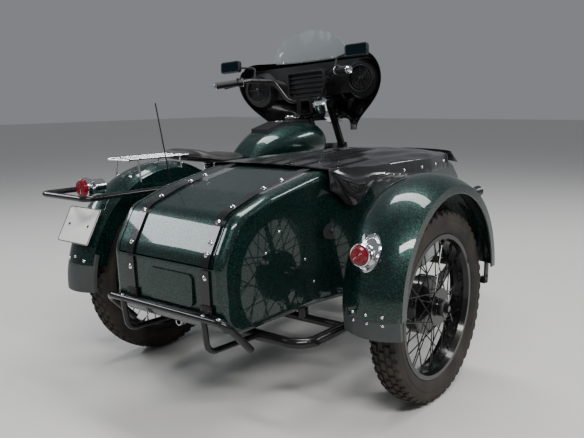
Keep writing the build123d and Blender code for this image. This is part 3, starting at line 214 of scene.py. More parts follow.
metalFlake = metalFlakeGroup()
surfaceWear = surfaceWearGroup()
flake = {"Base": (0.001, 0.007, 0.0056, 1), "Flake": (0.01, 0.13, 0.1, 1), "Amount": 0.5}
flakeShader = {"Metallic": 0.62, "Coat Weight": 0.72, "Coat Roughness": 0.03, "Specular IOR Level": 0.35}

# material name, base colour, dust colour and amount, patch scale, roughness low and high,
# grain scale and depth, shader sockets
wornMaterials = {
    "black_paint": (
        "blackGlossPaint", (0.004, 0.004, 0.005), (0.03, 0.028, 0.026), 0.25, 9.0, (0.14, 0.3), (700.0, 0.02),
        {"Coat Weight": 0.3, "Coat Roughness": 0.05, "Specular IOR Level": 0.22},
    ),
    "black_satin": (
        "blackMouldedPlastic", (0.005, 0.005, 0.006), (0.022, 0.021, 0.024), 0.3, 9.0, (0.34, 0.5),
        (1100.0, 0.2), {"Specular IOR Level": 0.35},
    ),
    "engine_alloy": (
        "castAlloy", (0.21, 0.21, 0.215), (0.09, 0.08, 0.065), 0.7, 14.0, (0.34, 0.6), (600.0, 0.35),
        {"Metallic": 0.85},
    ),
    "chrome": (
        "chromePlate", (0.72, 0.73, 0.75), (0.4, 0.39, 0.37), 0.25, 9.0, (0.05, 0.16), (700.0, 0.01),
        {"Metallic": 1.0},
    ),
    "saddle_leather": (
        "saddleLeather", (0.012, 0.011, 0.011), (0.06, 0.055, 0.05), 0.35, 9.0, (0.42, 0.6), (420.0, 0.5), {},
    ),
    "plate_white": (
        "plateWhite", (0.72, 0.72, 0.7), (0.4, 0.38, 0.34), 0.3, 9.0, (0.3, 0.5), (900.0, 0.12), {},
    ),
    "red_lens": (
        "redLens", (0.17, 0.001, 0.009), (0.1, 0.004, 0.01), 0.3, 60.0, (0.12, 0.22), (900.0, 0.05),
        {"Coat Weight": 0.35, "Coat Roughness": 0.04, "Specular IOR Level": 0.3},
    ),
    "rubber": (
        "flapRubber", (0.022, 0.03, 0.031), (0.07, 0.072, 0.068), 0.6, 9.0, (0.4, 0.7), (500.0, 0.35), {},
    ),
    "vinyl": (
        "coverVinyl", (0.006, 0.006, 0.007), (0.02, 0.02, 0.022), 0.3, 4.0, (0.2, 0.3), (900.0, 0.06),
        {"Coat Weight": 0.6, "Coat Roughness": 0.16},
    ),
    "tinted_glass": (
        "tintedGlass", (0.02, 0.022, 0.025), (0.06, 0.06, 0.062), 0.3, 9.0, (0.03, 0.12), (700.0, 0.01),
        {"Coat Weight": 1.0, "Alpha": 0.85},
    ),
    "clear_glass": (
        "clearScreen", (0.42, 0.47, 0.5), (0.36, 0.38, 0.4), 0.4, 9.0, (0.02, 0.1), (700.0, 0.01),
        {"Coat Weight": 1.0, "Alpha": 0.42},
    ),
    "tyre_rubber": (
        "tyreRubber", (0.017, 0.0155, 0.014), (0.066, 0.057, 0.047), 0.65, 11.0, (0.6, 0.85), (420.0, 0.5),
        {"Specular IOR Level": 0.2},
    ),
}
materials = {"green_paint": newMaterial("greenFlakePaint", flakeShader, metalFlake, flake)}
for slotName, (name, base, dust, amount, patches, rough, grain, sockets) in wornMaterials.items():
    values = {
        "Base": (*base, 1), "Dust": (*dust, 1), "Dust Amount": amount, "Patch Scale": patches,
        "Rough Low": rough[0], "Rough High": rough[1], "Grain Scale": grain[0], "Grain Depth": grain[1],
    }
    materials[slotName] = newMaterial(name, sockets, surfaceWear, values)


def strappedPaint(name, strapColor):
    # the flake paint with the two straps in black
    material = newMaterial(name, flakeShader, metalFlake, flake)
    tree = material.node_tree
    base = tree.nodes["Principled BSDF"].inputs["Base Color"]
    mask = addNode(tree, "Group", node_tree=strapMaskGroup())
    tree.links.new(mixColors(tree, mask["Mask"], base.links[0].from_socket, strapColor), base)
    return material


def dressNode(node, material):
    data = nodes[node].data
    if not data.materials:
        data.materials.append(material)
    for index in range(len(data.materials)):
        data.materials[index] = material


for entry in frame["record"]["subparts"]:
    dressNode(entry["node"], materials[entry["material_slot"]])
strapped = strappedPaint("strappedPaint", (0.005, 0.005, 0.006, 1))
for node in ("tub", "boot_lid"):
    dressNode(node, strapped)
print("materials placed")


# shared shapes; section of a bolt head: share of its height, share of its radius
domeSection = [(0.25, 1.0), (0.7, 0.72)]
domeSunk = 0.0008
domeTip = 0.0004


def circle(count):
    # cosine and sine of each step round a full turn
    return [(math.cos(math.tau * step / count), math.sin(math.tau * step / count)) for step in range(count)]


def signedPower(share, power):
    return math.copysign(abs(share) ** power, share)


def onBike(side, reach, y, z):
    # a point so far to one side of the bike's middle
    return Vector((bikeX + side * reach, y, z))


def lathe(bm, profile, centre, axis, steps=32):
    # profile: distance along the axis and radius, spun a full turn
    axis, centre = Vector(axis).normalized(), Vector(centre)
    side = axis.orthogonal().normalized()
    verts = [bm.verts.new(centre + axis * along + side * radius) for along, radius in profile]
    edges = [bm.edges.new(pair) for pair in zip(verts, verts[1:])]
    bmesh.ops.spin(
        bm, geom=verts + edges, cent=centre, axis=axis, angle=math.tau, steps=steps, use_merge=True
    )


def joinRings(bm, rings, caps=True):
    # faces between closed rings of points, and over the two ends
    for first, second in zip(rings, rings[1:]):
        for index in range(len(first)):
            following = (index + 1) % len(first)
            bm.faces.new((first[index], first[following], second[following], second[index]))
    if caps:
        bm.faces.new(rings[0][::-1])
        bm.faces.new(rings[-1])


def thicken(bm, outside, thickness):
    # gives an open sheet its thickness, inwards from its outside
    bmesh.ops.recalc_face_normals(bm, faces=bm.faces)
    if sum((face.normal for face in bm.faces), Vector()).dot(outside) < 0:
        bmesh.ops.reverse_faces(bm, faces=bm.faces)
    bmesh.ops.solidify(bm, geom=bm.faces[:], thickness=thickness)


def addDome(bm, centre, normal, radius, height, steps=16):
    # a round bolt head: short edge, then a dome
    section = [(height * up, radius * out) for up, out in domeSection]
    lathe(bm, [(-domeSunk, radius), *section, (height, domeTip)], centre, normal, steps)


def addRing(bm, centre, axis, radius, thickness, steps=40):
    # a round wire ring
    section = circle(8) + circle(1)
    profile = [(thickness * sine, radius + thickness * cosine) for cosine, sine in section]
    lathe(bm, profile, centre, axis, steps)


def addPipe(bm, points, radius, steps=8):
    # a round section carried along a list of points
    points = [Vector(point) for point in points]
    rings = []
    side = (points[1] - points[0]).orthogonal().normalized()
    for index, point in enumerate(points):
        ahead = (points[min(index + 1, len(points) - 1)] - points[max(index - 1, 0)]).normalized()
        side = (side - ahead * side.dot(ahead)).normalized()
        across = ahead.cross(side)
        rings.append(
            [bm.verts.new(point + (side * cosine + across * sine) * radius) for cosine, sine in circle(steps)]
        )
    joinRings(bm, rings)


def smoothPath(points, count):
    # Catmull-Rom through the points
    points = [Vector(point) for point in points]
    ends = [points[0] * 2 - points[1]] + points + [points[-1] * 2 - points[-2]]
    path = []
    for index in range(1, len(ends) - 2):
        before, start, stop, after = ends[index - 1 : index + 3]
        for step in range(count):
            t = step / count
            slope = (stop - before) * t
            bend = (2 * before - 5 * start + 4 * stop - after) * t * t
            path.append(0.5 * (2 * start + slope + bend + (3 * start - before - 3 * stop + after) * t ** 3))
    path.append(points[-1])
    return path


def addHose(bm, points, radius):
    addPipe(bm, smoothPath(points, 7), radius)


def addBlock(bm, centre, size, turn=None, edge=0.0015):
    # a box with rounded edges
    before = set(bm.verts)
    made = bmesh.ops.create_cube(bm, size=1.0, matrix=Matrix.Diagonal((*size, 1.0)))
    edges = list({link for vert in made["verts"] for link in vert.link_edges})
    bmesh.ops.bevel(bm, geom=edges, offset=edge, affect="EDGES", segments=2, profile=0.5, material=-1)
    placed = [vert for vert in bm.verts if vert not in before]
    place = Matrix.Translation(Vector(centre)) @ (turn or Matrix.Identity(4))
    bmesh.ops.transform(bm, matrix=place, verts=placed)


def roundedOutline(width, height, radius, steps=5):
    points = []
    for sideX, sideY, start in ((1, 1, 0), (-1, 1, 90), (-1, -1, 180), (1, -1, 270)):
        for step in range(steps + 1):
            angle = math.radians(start + 90 * step / steps)
            x = sideX * (width / 2 - radius) + radius * math.cos(angle)
            y = sideY * (height / 2 - radius) + radius * math.sin(angle)
            points.append((x, y))
    return points


def outlineOn(centre, across, normal, outline):
    # a flat outline laid on the plane through a point
    normal, across = Vector(normal).normalized(), Vector(across).normalized()
    along = normal.cross(across)
    return [Vector(centre) + across * x + along * y for x, y in outline]


def addLip(bm, centre, across, normal, size, wire):
    # a wire round a rounded rectangle
    rim = outlineOn(centre, across, normal, roundedOutline(*size))
    addPipe(bm, rim + rim[:1], wire)


def addPlate(bm, centre, across, normal, outline, thickness):
    # a flat plate standing on the given point
    low = [bm.verts.new(point) for point in outlineOn(centre, across, normal, outline)]
    shift = Vector(normal).normalized() * thickness
    joinRings(bm, [low, [bm.verts.new(vert.co + shift) for vert in low]])


def surfacePoint(nodeNames, start, direction):
    # where a straight line first meets the named CAD nodes
    start, direction = Vector(start), Vector(direction).normalized()
    best = None
    for nodeName in nodeNames:
        hit, place, normal, index = nodes[nodeName].ray_cast(start, direction)
        if hit and (best is None or (place - start).length < (best[0] - start).length):
            best = (place, normal)
    return best


def addBolts(bm, nodeNames, starts, direction, radius, height, steps=14):
    # dome heads where lines from the start points meet the named CAD nodes
    for start in starts:
        found = surfacePoint(nodeNames, start, direction)
        if found:
            addDome(bm, *found, radius, height, steps)


# wheels: x, y, and which way the hub's cap faces, 1 to the left and -1 to the right
wheels = {"front": (bikeX, -0.81, 1), "rear": (bikeX, 0.68, -1), "sidecar": (-0.752, 0.475, 1)}

# tyres: carcass with sidewall ribs, then blocks across the tread
tyre = {
    "radius": 0.3377,
    "blockBase": 0.3305,
    "shoulder": {"half": 0.041, "limit": 1.12, "drop": 0.0078, "power": 2.2},
    "steps": 96,
    # distance from the middle, and radius below the tread
    "crown": (0.0, 0.012, 0.024, 0.034, 0.041),
    "sidewall": [
        (0.0455, 0.3205), (0.0482, 0.309), (0.049, 0.2985), (0.0484, 0.297), (0.0489, 0.2955), (0.0486, 0.284),
        (0.0476, 0.2825), (0.0474, 0.281), (0.0455, 0.27), (0.042, 0.262), (0.0385, 0.2575), (0.036, 0.2545),
        (0.034, 0.2535),
    ],
    "pitches": 52,
    # place across, half width, length share, shift along
    "blocks": [
        (-0.0395, 0.0072, 0.62, 0.0), (-0.0225, 0.0078, 0.74, 0.5), (0.0, 0.0098, 0.8, 0.1),
        (0.0225, 0.0078, 0.74, 0.5), (0.0395, 0.0072, 0.62, 0.0),
    ],
    "blockSunk": 0.001,
    "blockTaper": 0.78,
    "blockSkew": 0.1,
}


def wheelMatrix(name):
    x, y, side = wheels[name]
    place = Matrix.Translation((x, y, axleZ)) @ Matrix.Rotation(0 if side > 0 else math.pi, 4, "Z")
    return steered @ place if name == "front" else place


def crownRadius(across, values):
    # radius of the finished tread at a distance from the middle
    shoulder = values["shoulder"]
    share = min(abs(across) / shoulder["half"], shoulder["limit"])
    return values["radius"] - shoulder["drop"] * share ** shoulder["power"]


def buildTyre(bm, values):
    groove = values["radius"] - values["blockBase"]
    half = [(across, crownRadius(across, values) - groove) for across in values["crown"]] + values["sidewall"]
    profile = [(-along, radius) for along, radius in reversed(half[1:])] + half
    lathe(bm, profile, (0, 0, 0), leftwards, values["steps"])
    step = math.tau / values["pitches"]
    for pitch in range(values["pitches"]):
        for across, halfWidth, share, shift in values["blocks"]:
            middle = (pitch + shift) * step
            reach = step * share / 2
            lower, upper = [], []
            for sideShare, turnShare in ((-1, -1), (1, -1), (1, 1), (-1, 1)):
                x = across + sideShare * halfWidth
                skew = values["blockSkew"] * step if sideShare * across > 0 else 0
                angle = middle + turnShare * reach + skew
                base = crownRadius(x, values) - groove - values["blockSunk"]
                lower.append(bm.verts.new((x, base * math.sin(angle), base * math.cos(angle))))
                x = across + sideShare * halfWidth * values["blockTaper"]
                angle = middle + turnShare * reach * values["blockTaper"]
                top = crownRadius(x, values)
                upper.append(bm.verts.new((x, top * math.sin(angle), top * math.cos(angle))))
            joinRings(bm, [lower, upper], caps=False)
            bm.faces.new(upper)


for wheelName in wheels:
    piece = makePiece(
        buildTyre, tyre, wheelName + "TyreLooks", wheelName + "_wheel", "tyre_rubber", 30,
        wheelMatrix(wheelName),
    )
    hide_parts(wheelName + "_tyre")
print("tyres done")


# wheel trim: nipples at the rim, hub cap, axle nut, valve
wheelTrim = {
    "count": 20,
    "rimRadius": 0.2306,
    # side of the hub: hub end along the axle, hub radius, rim end along the axle, crossing angle
    "sides": [(-0.034, 0.060, -0.006, 52), (0.014, 0.099, 0.006, 34)],
    "nipple": [(0, 0.0048), (0.003, 0.0048), (0.0035, 0.0036), (0.014, 0.00306), (0.0145, 0.002)],
    "spokeHead": [(-0.004, 0.0035), (0.0, 0.0042), (0.004, 0.0035)],
    "cap": [
        (0.04, 0.03), (0.052, 0.03), (0.054, 0.028), (0.054, 0.022), (0.062, 0.021), (0.063, 0.017),
        (0.076, 0.016), (0.079, 0.012), (0.08, 0.0005),
    ],
    # how many places of the cap's profile the plainer far side has
    "farCap": 7,
    "drumRibs": [0.086, 0.07, 0.054],
    "rib": [(0.0462, -0.002), (0.0482, -0.001), (0.0482, 0.001), (0.0462, 0.002)],
    "valve": {"angle": 9, "radius": 0.233},
    "valveProfile": [(0, 0.0042), (0.004, 0.003), (0.03, 0.003), (0.031, 0.0005)],
}


def buildWheelTrim(bm, values):
    for hubX, hubRadius, rimX, crossing in values["sides"]:
        for index in range(values["count"]):
            rimAngle = math.tau * (index + (0.5 if rimX > 0 else 0)) / values["count"]
            hubAngle = rimAngle + math.radians(crossing if index % 2 else -crossing)
            hubEnd, rimEnd = (
                Vector((x, radius * math.cos(angle), radius * math.sin(angle)))
                for x, radius, angle in ((hubX, hubRadius, hubAngle), (rimX, values["rimRadius"], rimAngle))
            )
            lathe(bm, values["nipple"], rimEnd, hubEnd - rimEnd, 8)
            lathe(bm, values["spokeHead"], hubEnd, hubEnd - rimEnd, 8)
    lathe(bm, values["cap"], (0, 0, 0), leftwards, 28)
    farSide = [(-along, radius) for along, radius in values["cap"][: values["farCap"]]]
    lathe(bm, farSide, (0, 0, 0), leftwards, 28)
    for middle in values["drumRibs"]:
        lathe(bm, [(along, middle + shift) for along, shift in values["rib"]], (0, 0, 0), leftwards, 48)
    valve = values["valve"]
    angle = math.radians(valve["angle"])
    outwards = Vector((0.0, math.sin(angle), math.cos(angle)))
    lathe(bm, values["valveProfile"], outwards * valve["radius"], -outwards, 10)


for wheelName in wheels:
    makePiece(
        buildWheelTrim, wheelTrim, wheelName + "WheelTrim", wheelName + "_wheel", "black_satin", 35,
        wheelMatrix(wheelName),
    )
print("wheel trim done")


# dome bolts along the two straps: y and z on each strap, as the photo has them
strapBolts = {
    "radius": 0.0088,
    "height": 0.006,
    "seamZ": 0.541,
    # middle of the boot's curve, and how far outside it the lines start
    "middle": (0.7, 0.45),
    "reach": 0.3,
    "straps": {
        0.025: [(0.777, 0.765), (0.843, 0.74), (0.963, 0.694), (1.03, 0.655), (1.105, 0.575), (1.12, 0.496)],
        -0.33: [
            (0.765, 0.767), (0.851, 0.743), (0.989, 0.7), (1.06, 0.667), (1.12, 0.62), (1.135, 0.585),
            (1.14, 0.512),
        ],
    },
}


def addStrapBolts(bm, values, upper):
    middleY, middleZ = values["middle"]
    for x, places in values["straps"].items():
        for y, z in places:
            if (z > values["seamZ"]) == upper:
                outwards = Vector((0, y - middleY, z - middleZ)).normalized()
                start = Vector((x, y, z)) + outwards * values["reach"]
                addBolts(bm, ["boot_lid", "tub"], [start], -outwards, values["radius"], values["height"], 16)


def buildLidBolts(bm, values):
    addStrapBolts(bm, values, True)


def buildTubBolts(bm, values):
    addStrapBolts(bm, values, False)


makePiece(buildLidBolts, strapBolts, "strapBoltsBootLid", "boot_lid", "chrome")
makePiece(buildTubBolts, strapBolts, "strapBoltsChassis", "chassis", "chrome")
print("strap bolts done")


# cover over the cockpit: stretched over the coaming, loose round the edge where it hangs
cover = {
    "frontY": -0.352,
    "rearY": 0.612,
    # stretch of the CAD cover in which its sides are measured, and at what height
    "sideLimits": (-0.34, 0.6),
    "sideZ": 0.765,
    "rows": 150,
    "topColumns": 56,
    "skirtColumns": 14,
    # the rim rises from the front to its full height within a share of the length
    "rimZ": 0.806,
    "frontRimZ": 0.797,
    "rimRise": 0.4,
    # height over the rim, limits and power of its curve along the tub, power across, fall to the rear
    "crown": 0.034,
    "crownEnds": (0.02, 0.98),
    "crownPowers": (0.55, 2.3),
    "crownSlope": (1.12, 0.35),
    "outside": 0.006,
    "thickness": 0.0022,
    # where the top turns down to the edge: start, ripple, drop
    "topEdge": (0.8, 0.0006, 0.004),
    # the hanging edge: first drop, full drop, share of it that ripples
    "skirtStart": 0.004,
    "skirtDrop": 0.062,
    "skirtWave": 0.05,
    # how far it stands out: ripple, bulge and its curve, flare
    "skirtSwell": (0.0016, 0.004, 2.4, 0.004),
    # small ripples along the edge: height, waves and shift along y
    "ripples": [(0.32, 117, 2.1), (0.25, 31, -0.7)],
    "mainRipple": (0.5, 61, 1.3, 23),
    # flap where the rear right corner hangs loose: place along the tub, reach, extra drop
    "flapY": 0.5,
    "flapReach": 0.075,
    "flapDrop": 0.075,
    # ridges pulled from the rear right corner: where they start and how far in they sag, height, width
    "swags": [(0.95, 0.15, 0.0075, 0.026), (0.985, 0.07, 0.006, 0.02), (0.88, 0.3, 0.005, 0.034)],
    # the line of each ridge and its height: where along the tub they start, run and power
    "swagLine": (0.97, 0.8, 0.8),
    "swagFade": (0.12, 0.86, 0.5),
    # ridges on the hanging right side: how far along they run, height, width
    "sideSwags": [(0.42, 0.006, 0.1), (0.68, 0.005, 0.08), (0.2, 0.006, 0.12)],
    # where they start, power of their height, how far they drop and its power
    "sideSwagLine": (0.99, 0.4, 1.15, 0.7),
    # long soft folds between the fasteners: range of x, y, lean, width and reach
    "foldSeed": 11,
    "foldCount": 14,
    "foldRanges": [(-0.45, 0.1), (-0.3, 0.6), (-0.3, 0.35), (0.12, 0.2), (0.3, 0.6)],
    "foldHeight": 0.0021,
    "foldWaves": 60,
    "foldCore": 0.32,
    # cloth that it is cut from, and its area as measured on the finished sheet
    "flat": (0.79, 1.05),
    "area": 0.74,
}


def clamp(value, low=0.0, high=1.0):
    return min(max(value, low), high)


def hump(share, power):
    # nought at both ends and one in the middle
    return math.sin(math.pi * share) ** power


def bell(distance, width):
    return math.exp(-((distance / width) ** 2))


def sidePoints(target, y, z):
    # where lines from the left and the right first meet an object: place and normal, none where they miss
    found = []
    for startX, direction in ((farOut, rightwards), (-farOut, leftwards)):
        hit, place, normal, index = target.ray_cast(Vector((startX, y, z)), direction)
        found.append((place, normal) if hit else None)
    return found


def coverRipple(values, y):
    height, waves, bend, bendWaves = values["mainRipple"]
    ripple = height * math.sin(y * waves + bend * math.sin(y * bendWaves))
    return ripple + sum(height * math.sin(y * waves + shift) for height, waves, shift in values["ripples"])


def coverTop(values, folds, share, across, x, y):
    # height of the stretched part over the rim
    side = abs(2 * across - 1)
    alongPower, acrossPower = values["crownPowers"]
    front, fall = values["crownSlope"]
    z = values["crown"] * hump(clamp(share, *values["crownEnds"]), alongPower)
    z *= (1 - side ** acrossPower) * (front - fall * share)
    for foldX, foldY, lean, width, reach in folds:
        alongFold = (y - foldY) * math.cos(lean) + (x - foldX) * math.sin(lean)
        acrossFold = (x - foldX) * math.cos(lean) - (y - foldY) * math.sin(lean)
        fade = bell(alongFold, reach) * bell(acrossFold, width * values["foldCore"])
        z += values["foldHeight"] * fade * math.cos(acrossFold * values["foldWaves"])
    rear, run, sagPower = values["swagLine"]
    ahead, length, fadePower = values["swagFade"]
    for start, sag, height, width in values["swags"]:
        crest = start - sag * hump(clamp((rear - share) / run), sagPower)
        z += height * hump(clamp((share - ahead) / length), fadePower) * bell(across - crest, width)
    start, rippled, drop = values["topEdge"]
    edge = max(0.0, (side - start) / (1 - start))
    return z + rippled * edge * coverRipple(values, y) - drop * edge ** 2


def coverSkirt(values, share, past, y, rightSide):
    # how far the hanging edge stands out, and how far it drops
    ripple = coverRipple(values, y)
    drop = values["skirtDrop"] * (1 + values["skirtWave"] * ripple)
    rippled, bulge, curve, flare = values["skirtSwell"]
    swell = rippled * ripple * past + bulge * math.sin(past * curve) + flare * past
    if rightSide:
        drop += values["flapDrop"] * bell(y - values["flapY"], values["flapReach"])
        start, power, fall, fallPower = values["sideSwagLine"]
        for reach, height, width in values["sideSwags"]:
            run = clamp((start - share) / reach)
            swell += height * hump(run, power) * bell(past - fall * run ** fallPower, width)
    return swell, values["skirtStart"] + drop * past


def buildCover(bm, values):
    rng = random.Random(values["foldSeed"])
    folds = [[rng.uniform(*limits) for limits in values["foldRanges"]] for index in range(values["foldCount"])]
    rows = []
    for row in range(values["rows"] + 1):
        share = row / values["rows"]
        y = values["frontY"] + (values["rearY"] - values["frontY"]) * share
        left, right = sidePoints(nodes["tonneau_cover"], clamp(y, *values["sideLimits"]), values["sideZ"])
        left, right = left[0].x + values["outside"], right[0].x - values["outside"]
        rise = min(share / values["rimRise"], 1)
        rimZ = values["frontRimZ"] + (values["rimZ"] - values["frontRimZ"]) * rise
        line = []
        for column in range(values["topColumns"] + 2 * values["skirtColumns"] + 1):
            across = (column - values["skirtColumns"]) / values["topColumns"]
            if 0 <= across <= 1:
                x = left + (right - left) * across
                z = rimZ + coverTop(values, folds, share, across, x, y)
            else:
                rightSide = across > 1
                past = (across - 1 if rightSide else -across) * values["topColumns"] / values["skirtColumns"]
                swell, drop = coverSkirt(values, share, past, y, rightSide)
                x = right - swell if rightSide else left + swell
                z = rimZ - drop
            line.append(bm.verts.new((x, y, z)))
        rows.append(line)
    for first, second in zip(rows, rows[1:]):
        for index in range(len(first) - 1):
            bm.faces.new((first[index], first[index + 1], second[index + 1], second[index]))
    thicken(bm, upwards, values["thickness"])


coverPiece = makePiece(buildCover, cover, "coverLooks", "chassis", "vinyl", 60)
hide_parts("tonneau_cover")
print("cover done")


# saddle: soft pad over a pan, with a piped seam round its edge
saddle = {
    # distance along the bike, half width, height of the seam, height of the top
    "sections": [
        (0.178, 0.03, 0.786, 0.797), (0.2, 0.058, 0.786, 0.803), (0.25, 0.084, 0.787, 0.811),
        (0.315, 0.112, 0.788, 0.816), (0.38, 0.132, 0.79, 0.821), (0.44, 0.142, 0.795, 0.83),
        (0.49, 0.141, 0.803, 0.839), (0.525, 0.118, 0.809, 0.842), (0.541, 0.07, 0.812, 0.834),
    ],
    "bottom": 0.016,
    "steps": 48,
    "piping": 0.0035,
    # how squarely the section rounds off across, over the top and under the pan
    "powers": (0.7, 0.8, 0.6),
    "dish": {"depth": 0.006, "from": 0.3, "to": 0.48},
    "fill": 0.85,
}


def buildSaddle(bm, values):
    sections = smoothPath([(y, half, seam) for y, half, seam, top in values["sections"]], 5)
    tops = [point.z for point in smoothPath([(y, 0, top) for y, half, seam, top in values["sections"]], 5)]
    acrossPower, topPower, panPower = values["powers"]
    dish = values["dish"]
    rings = []
    for (y, half, seam), top in zip(sections, tops):
        ring = []
        for cosine, sine in circle(values["steps"]):
            x = half * signedPower(cosine, acrossPower)
            height = (top - seam) * sine ** topPower if sine > 0 else -values["bottom"] * abs(sine) ** panPower
            if dish["from"] < y < dish["to"]:
                height -= dish["depth"] * max(0.0, sine) * (1 - abs(x / half))
            ring.append(bm.verts.new((bikeX + x, y, seam + height)))
        rings.append(ring)
    joinRings(bm, rings, caps=False)
    bm.faces.new(rings[0])
    bm.faces.new(rings[-1][::-1])
    left, right = ([(bikeX + side * half, y, seam) for y, half, seam in sections] for side in (1, -1))
    addPipe(bm, left + right[::-1] + left[:1], values["piping"])


saddlePiece = makePiece(buildSaddle, saddle, "saddleLooks", "chassis", "saddle_leather", 50)
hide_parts("saddle")
print("saddle done")


# rolled edges and side creases of the three fenders
fenderEdges = {
    # bead along the valance and crease under the crown: how far above them, how far in, wire radius
    "bead": {"above": 0.001, "inset": 0.0034, "wire": 0.0034},
    "crease": {"above": -0.006, "inset": 0.0023, "wire": 0.0022},
    "count": 56,
    # centre, crown radius, valance, crown drop, half width, rear angle, front angle
    "rearFender": ((bikeX, 0.653, 0.349), 0.451, 0.092, 0.026, 0.08, 78, 38),
    "sidecarFender": ((-0.732, 0.475, 0.41), 0.388, 0.062, 0.034, 0.1075, 94, 88),
    "frontFender": ((bikeX, -0.81, 0.338), 0.372, 0.062, 0.026, 0.066, 100, 52),
}


def buildFenderEdges(bm, fender):
    (x, y, z), crown, valance, drop, half, rearAngle, frontAngle = fender
    for side in sides:
        for below, wire in ((valance, fenderEdges["bead"]), (drop, fenderEdges["crease"])):
            radius = crown - below + wire["above"]
            edgeX = x + side * (half - wire["inset"])
            arc = []
            for step in range(fenderEdges["count"] + 1):
                # angles counted from the top towards the rear
                angle = math.radians(-frontAngle + (rearAngle + frontAngle) * step / fenderEdges["count"])
                arc.append((edgeX, y + radius * math.sin(angle), z + radius * math.cos(angle)))
            addPipe(bm, arc, wire["wire"])


for name, body, matrix in (
    ("rearFender", "chassis", None), ("sidecarFender", "chassis", None), ("frontFender", "fork", steered)
):
    makePiece(buildFenderEdges, fenderEdges[name], name + "Edges", body, "green_paint", 60, matrix)
print("fender edges done")


# lamps: bezels, moulded rings on the lenses, oval foot of the side lamp, lenses of the marker lamp
lampTrim = {
    # centre and radius
    "lenses": [((-0.715, 0.87, 0.585), 0.03), ((bikeX, 1.034, 0.724), 0.034)],
    "bezel": {"outside": 0.0028, "wire": 0.0034},
    "lens": {"lift": 0.0144, "inside": 0.0051, "edge": -0.001, "rings": (0.66, 0.44, 0.22), "middle": 0.0012},
    # a moulded ring: share of the lens past its inner edge, height
    "ring": [(0.09, 0.0), (0.05, 0.0014), (0.0, 0.0)],
    "marker": {
        "x": -0.786, "z": 0.707, "wire": 0.0016, "dome": 0.006,
        "front": (0.1748, 0.0165), "rear": (0.2208, 0.0125),
    },
    # pressed oval foot of the side lamp; its section: share of its reach, height over the fender
    "foot": {
        "centre": (-0.717, 0.8205, 0.584),
        "normal": (0, 0.894, 0.448),
        "half": (0.041, 0.063),
        "section": [
            (0.02, 0.005), (0.45, 0.005), (0.62, 0.0048), (0.7, 0.0028), (0.8, 0.0028), (0.86, 0.0048),
            (0.93, 0.005), (0.985, 0.0035), (1.0, 0.0008),
        ],
        "steps": 56,
        "reach": 0.15,
        "sheet": 0.0015,
    },
}


def buildLampChrome(bm, values):
    for centre, radius in values["lenses"]:
        addRing(bm, centre, backwards, radius + values["bezel"]["outside"], values["bezel"]["wire"])
    marker = values["marker"]
    for y, radius in (marker["front"], marker["rear"]):
        addRing(bm, (marker["x"], y, marker["z"]), backwards, radius, marker["wire"], 28)


def buildLampFoot(bm, values):
    # rings of points laid on the fender, one ring for each place in the section
    normal = Vector(values["normal"]).normalized()
    halfAcross, halfAlong = values["half"]
    rings = []
    for share, lift in values["section"]:
        width, depth = halfAcross * share, halfAlong * share
        outline = [(width * cosine, depth * sine) for cosine, sine in circle(values["steps"])]
        ring = []
        for aim in outlineOn(values["centre"], leftwards, normal, outline):
            place = surfacePoint(["sidecar_fender"], aim + normal * values["reach"], -normal)[0]
            ring.append(bm.verts.new(place + normal * lift))
        rings.append(ring)
    for first, second in zip(rings, rings[1:]):
        pairs = [pair for ring in (first, second) for pair in zip(ring, ring[-1:] + ring[:-1])]
        bmesh.ops.bridge_loops(bm, edges=[bm.edges.get(pair) or bm.edges.new(pair) for pair in pairs])
    bm.faces.new(rings[0])
    thicken(bm, normal, values["sheet"])


def buildLensRings(bm, values):
    lens = values["lens"]
    for centre, radius in values["lenses"]:
        face = radius - lens["inside"]
        profile = [(lens["edge"], face)]
        for start in lens["rings"]:
            profile += [(height, face * (start + past)) for past, height in values["ring"]]
        profile.append((lens["middle"], 0.0003))
        lathe(bm, profile, Vector(centre) + backwards * lens["lift"], backwards, 36)
    marker = values["marker"]
    y, radius = marker["rear"]
    addDome(bm, (marker["x"], y, marker["z"]), backwards, radius, marker["dome"], 24)


makePiece(buildLampChrome, lampTrim, "lampChrome", "chassis", "chrome")
makePiece(buildLampFoot, lampTrim["foot"], "lampFoot", "chassis", "chrome", 35)
makePiece(buildLensRings, lampTrim, "lensRings", "chassis", "red_lens", 30)
print("lamp trim done")


# number plate: blank face with a raised border and two screws
plateTrim = {
    "centre": (bikeX, 1.063, 0.585),
    "lean": 29.5,
    "border": {"size": (0.186, 0.141, 0.008), "wire": 0.0016},
    "face": 0.0025,
    "screws": {"places": [(-0.058, 0.0), (0.058, 0.0)], "radius": 0.0052, "height": 0.003},
}


def buildPlateTrim(bm, values):
    lean = math.radians(values["lean"])
    normal = Vector((0, math.cos(lean), math.sin(lean)))
    face = Vector(values["centre"]) + normal * values["face"]
    addLip(bm, face, rightwards, normal, values["border"]["size"], values["border"]["wire"])
    screws = values["screws"]
    for point in outlineOn(face, rightwards, normal, screws["places"]):
        addDome(bm, point, normal, screws["radius"], screws["height"], 18)


makePiece(buildPlateTrim, plateTrim, "plateTrim", "chassis", "black_satin")
print("plate trim done")


# small bolts all over the chassis: what carries them, where the line to each starts, which way it goes
# (towards the bike where none is given), radius and height of the head
def grid(xs, ys, zs):
    return [(x, y, z) for x in xs for y in ys for z in zs]


def spread(xs, places):
    return [(x, y, z) for x in xs for y, z in places]


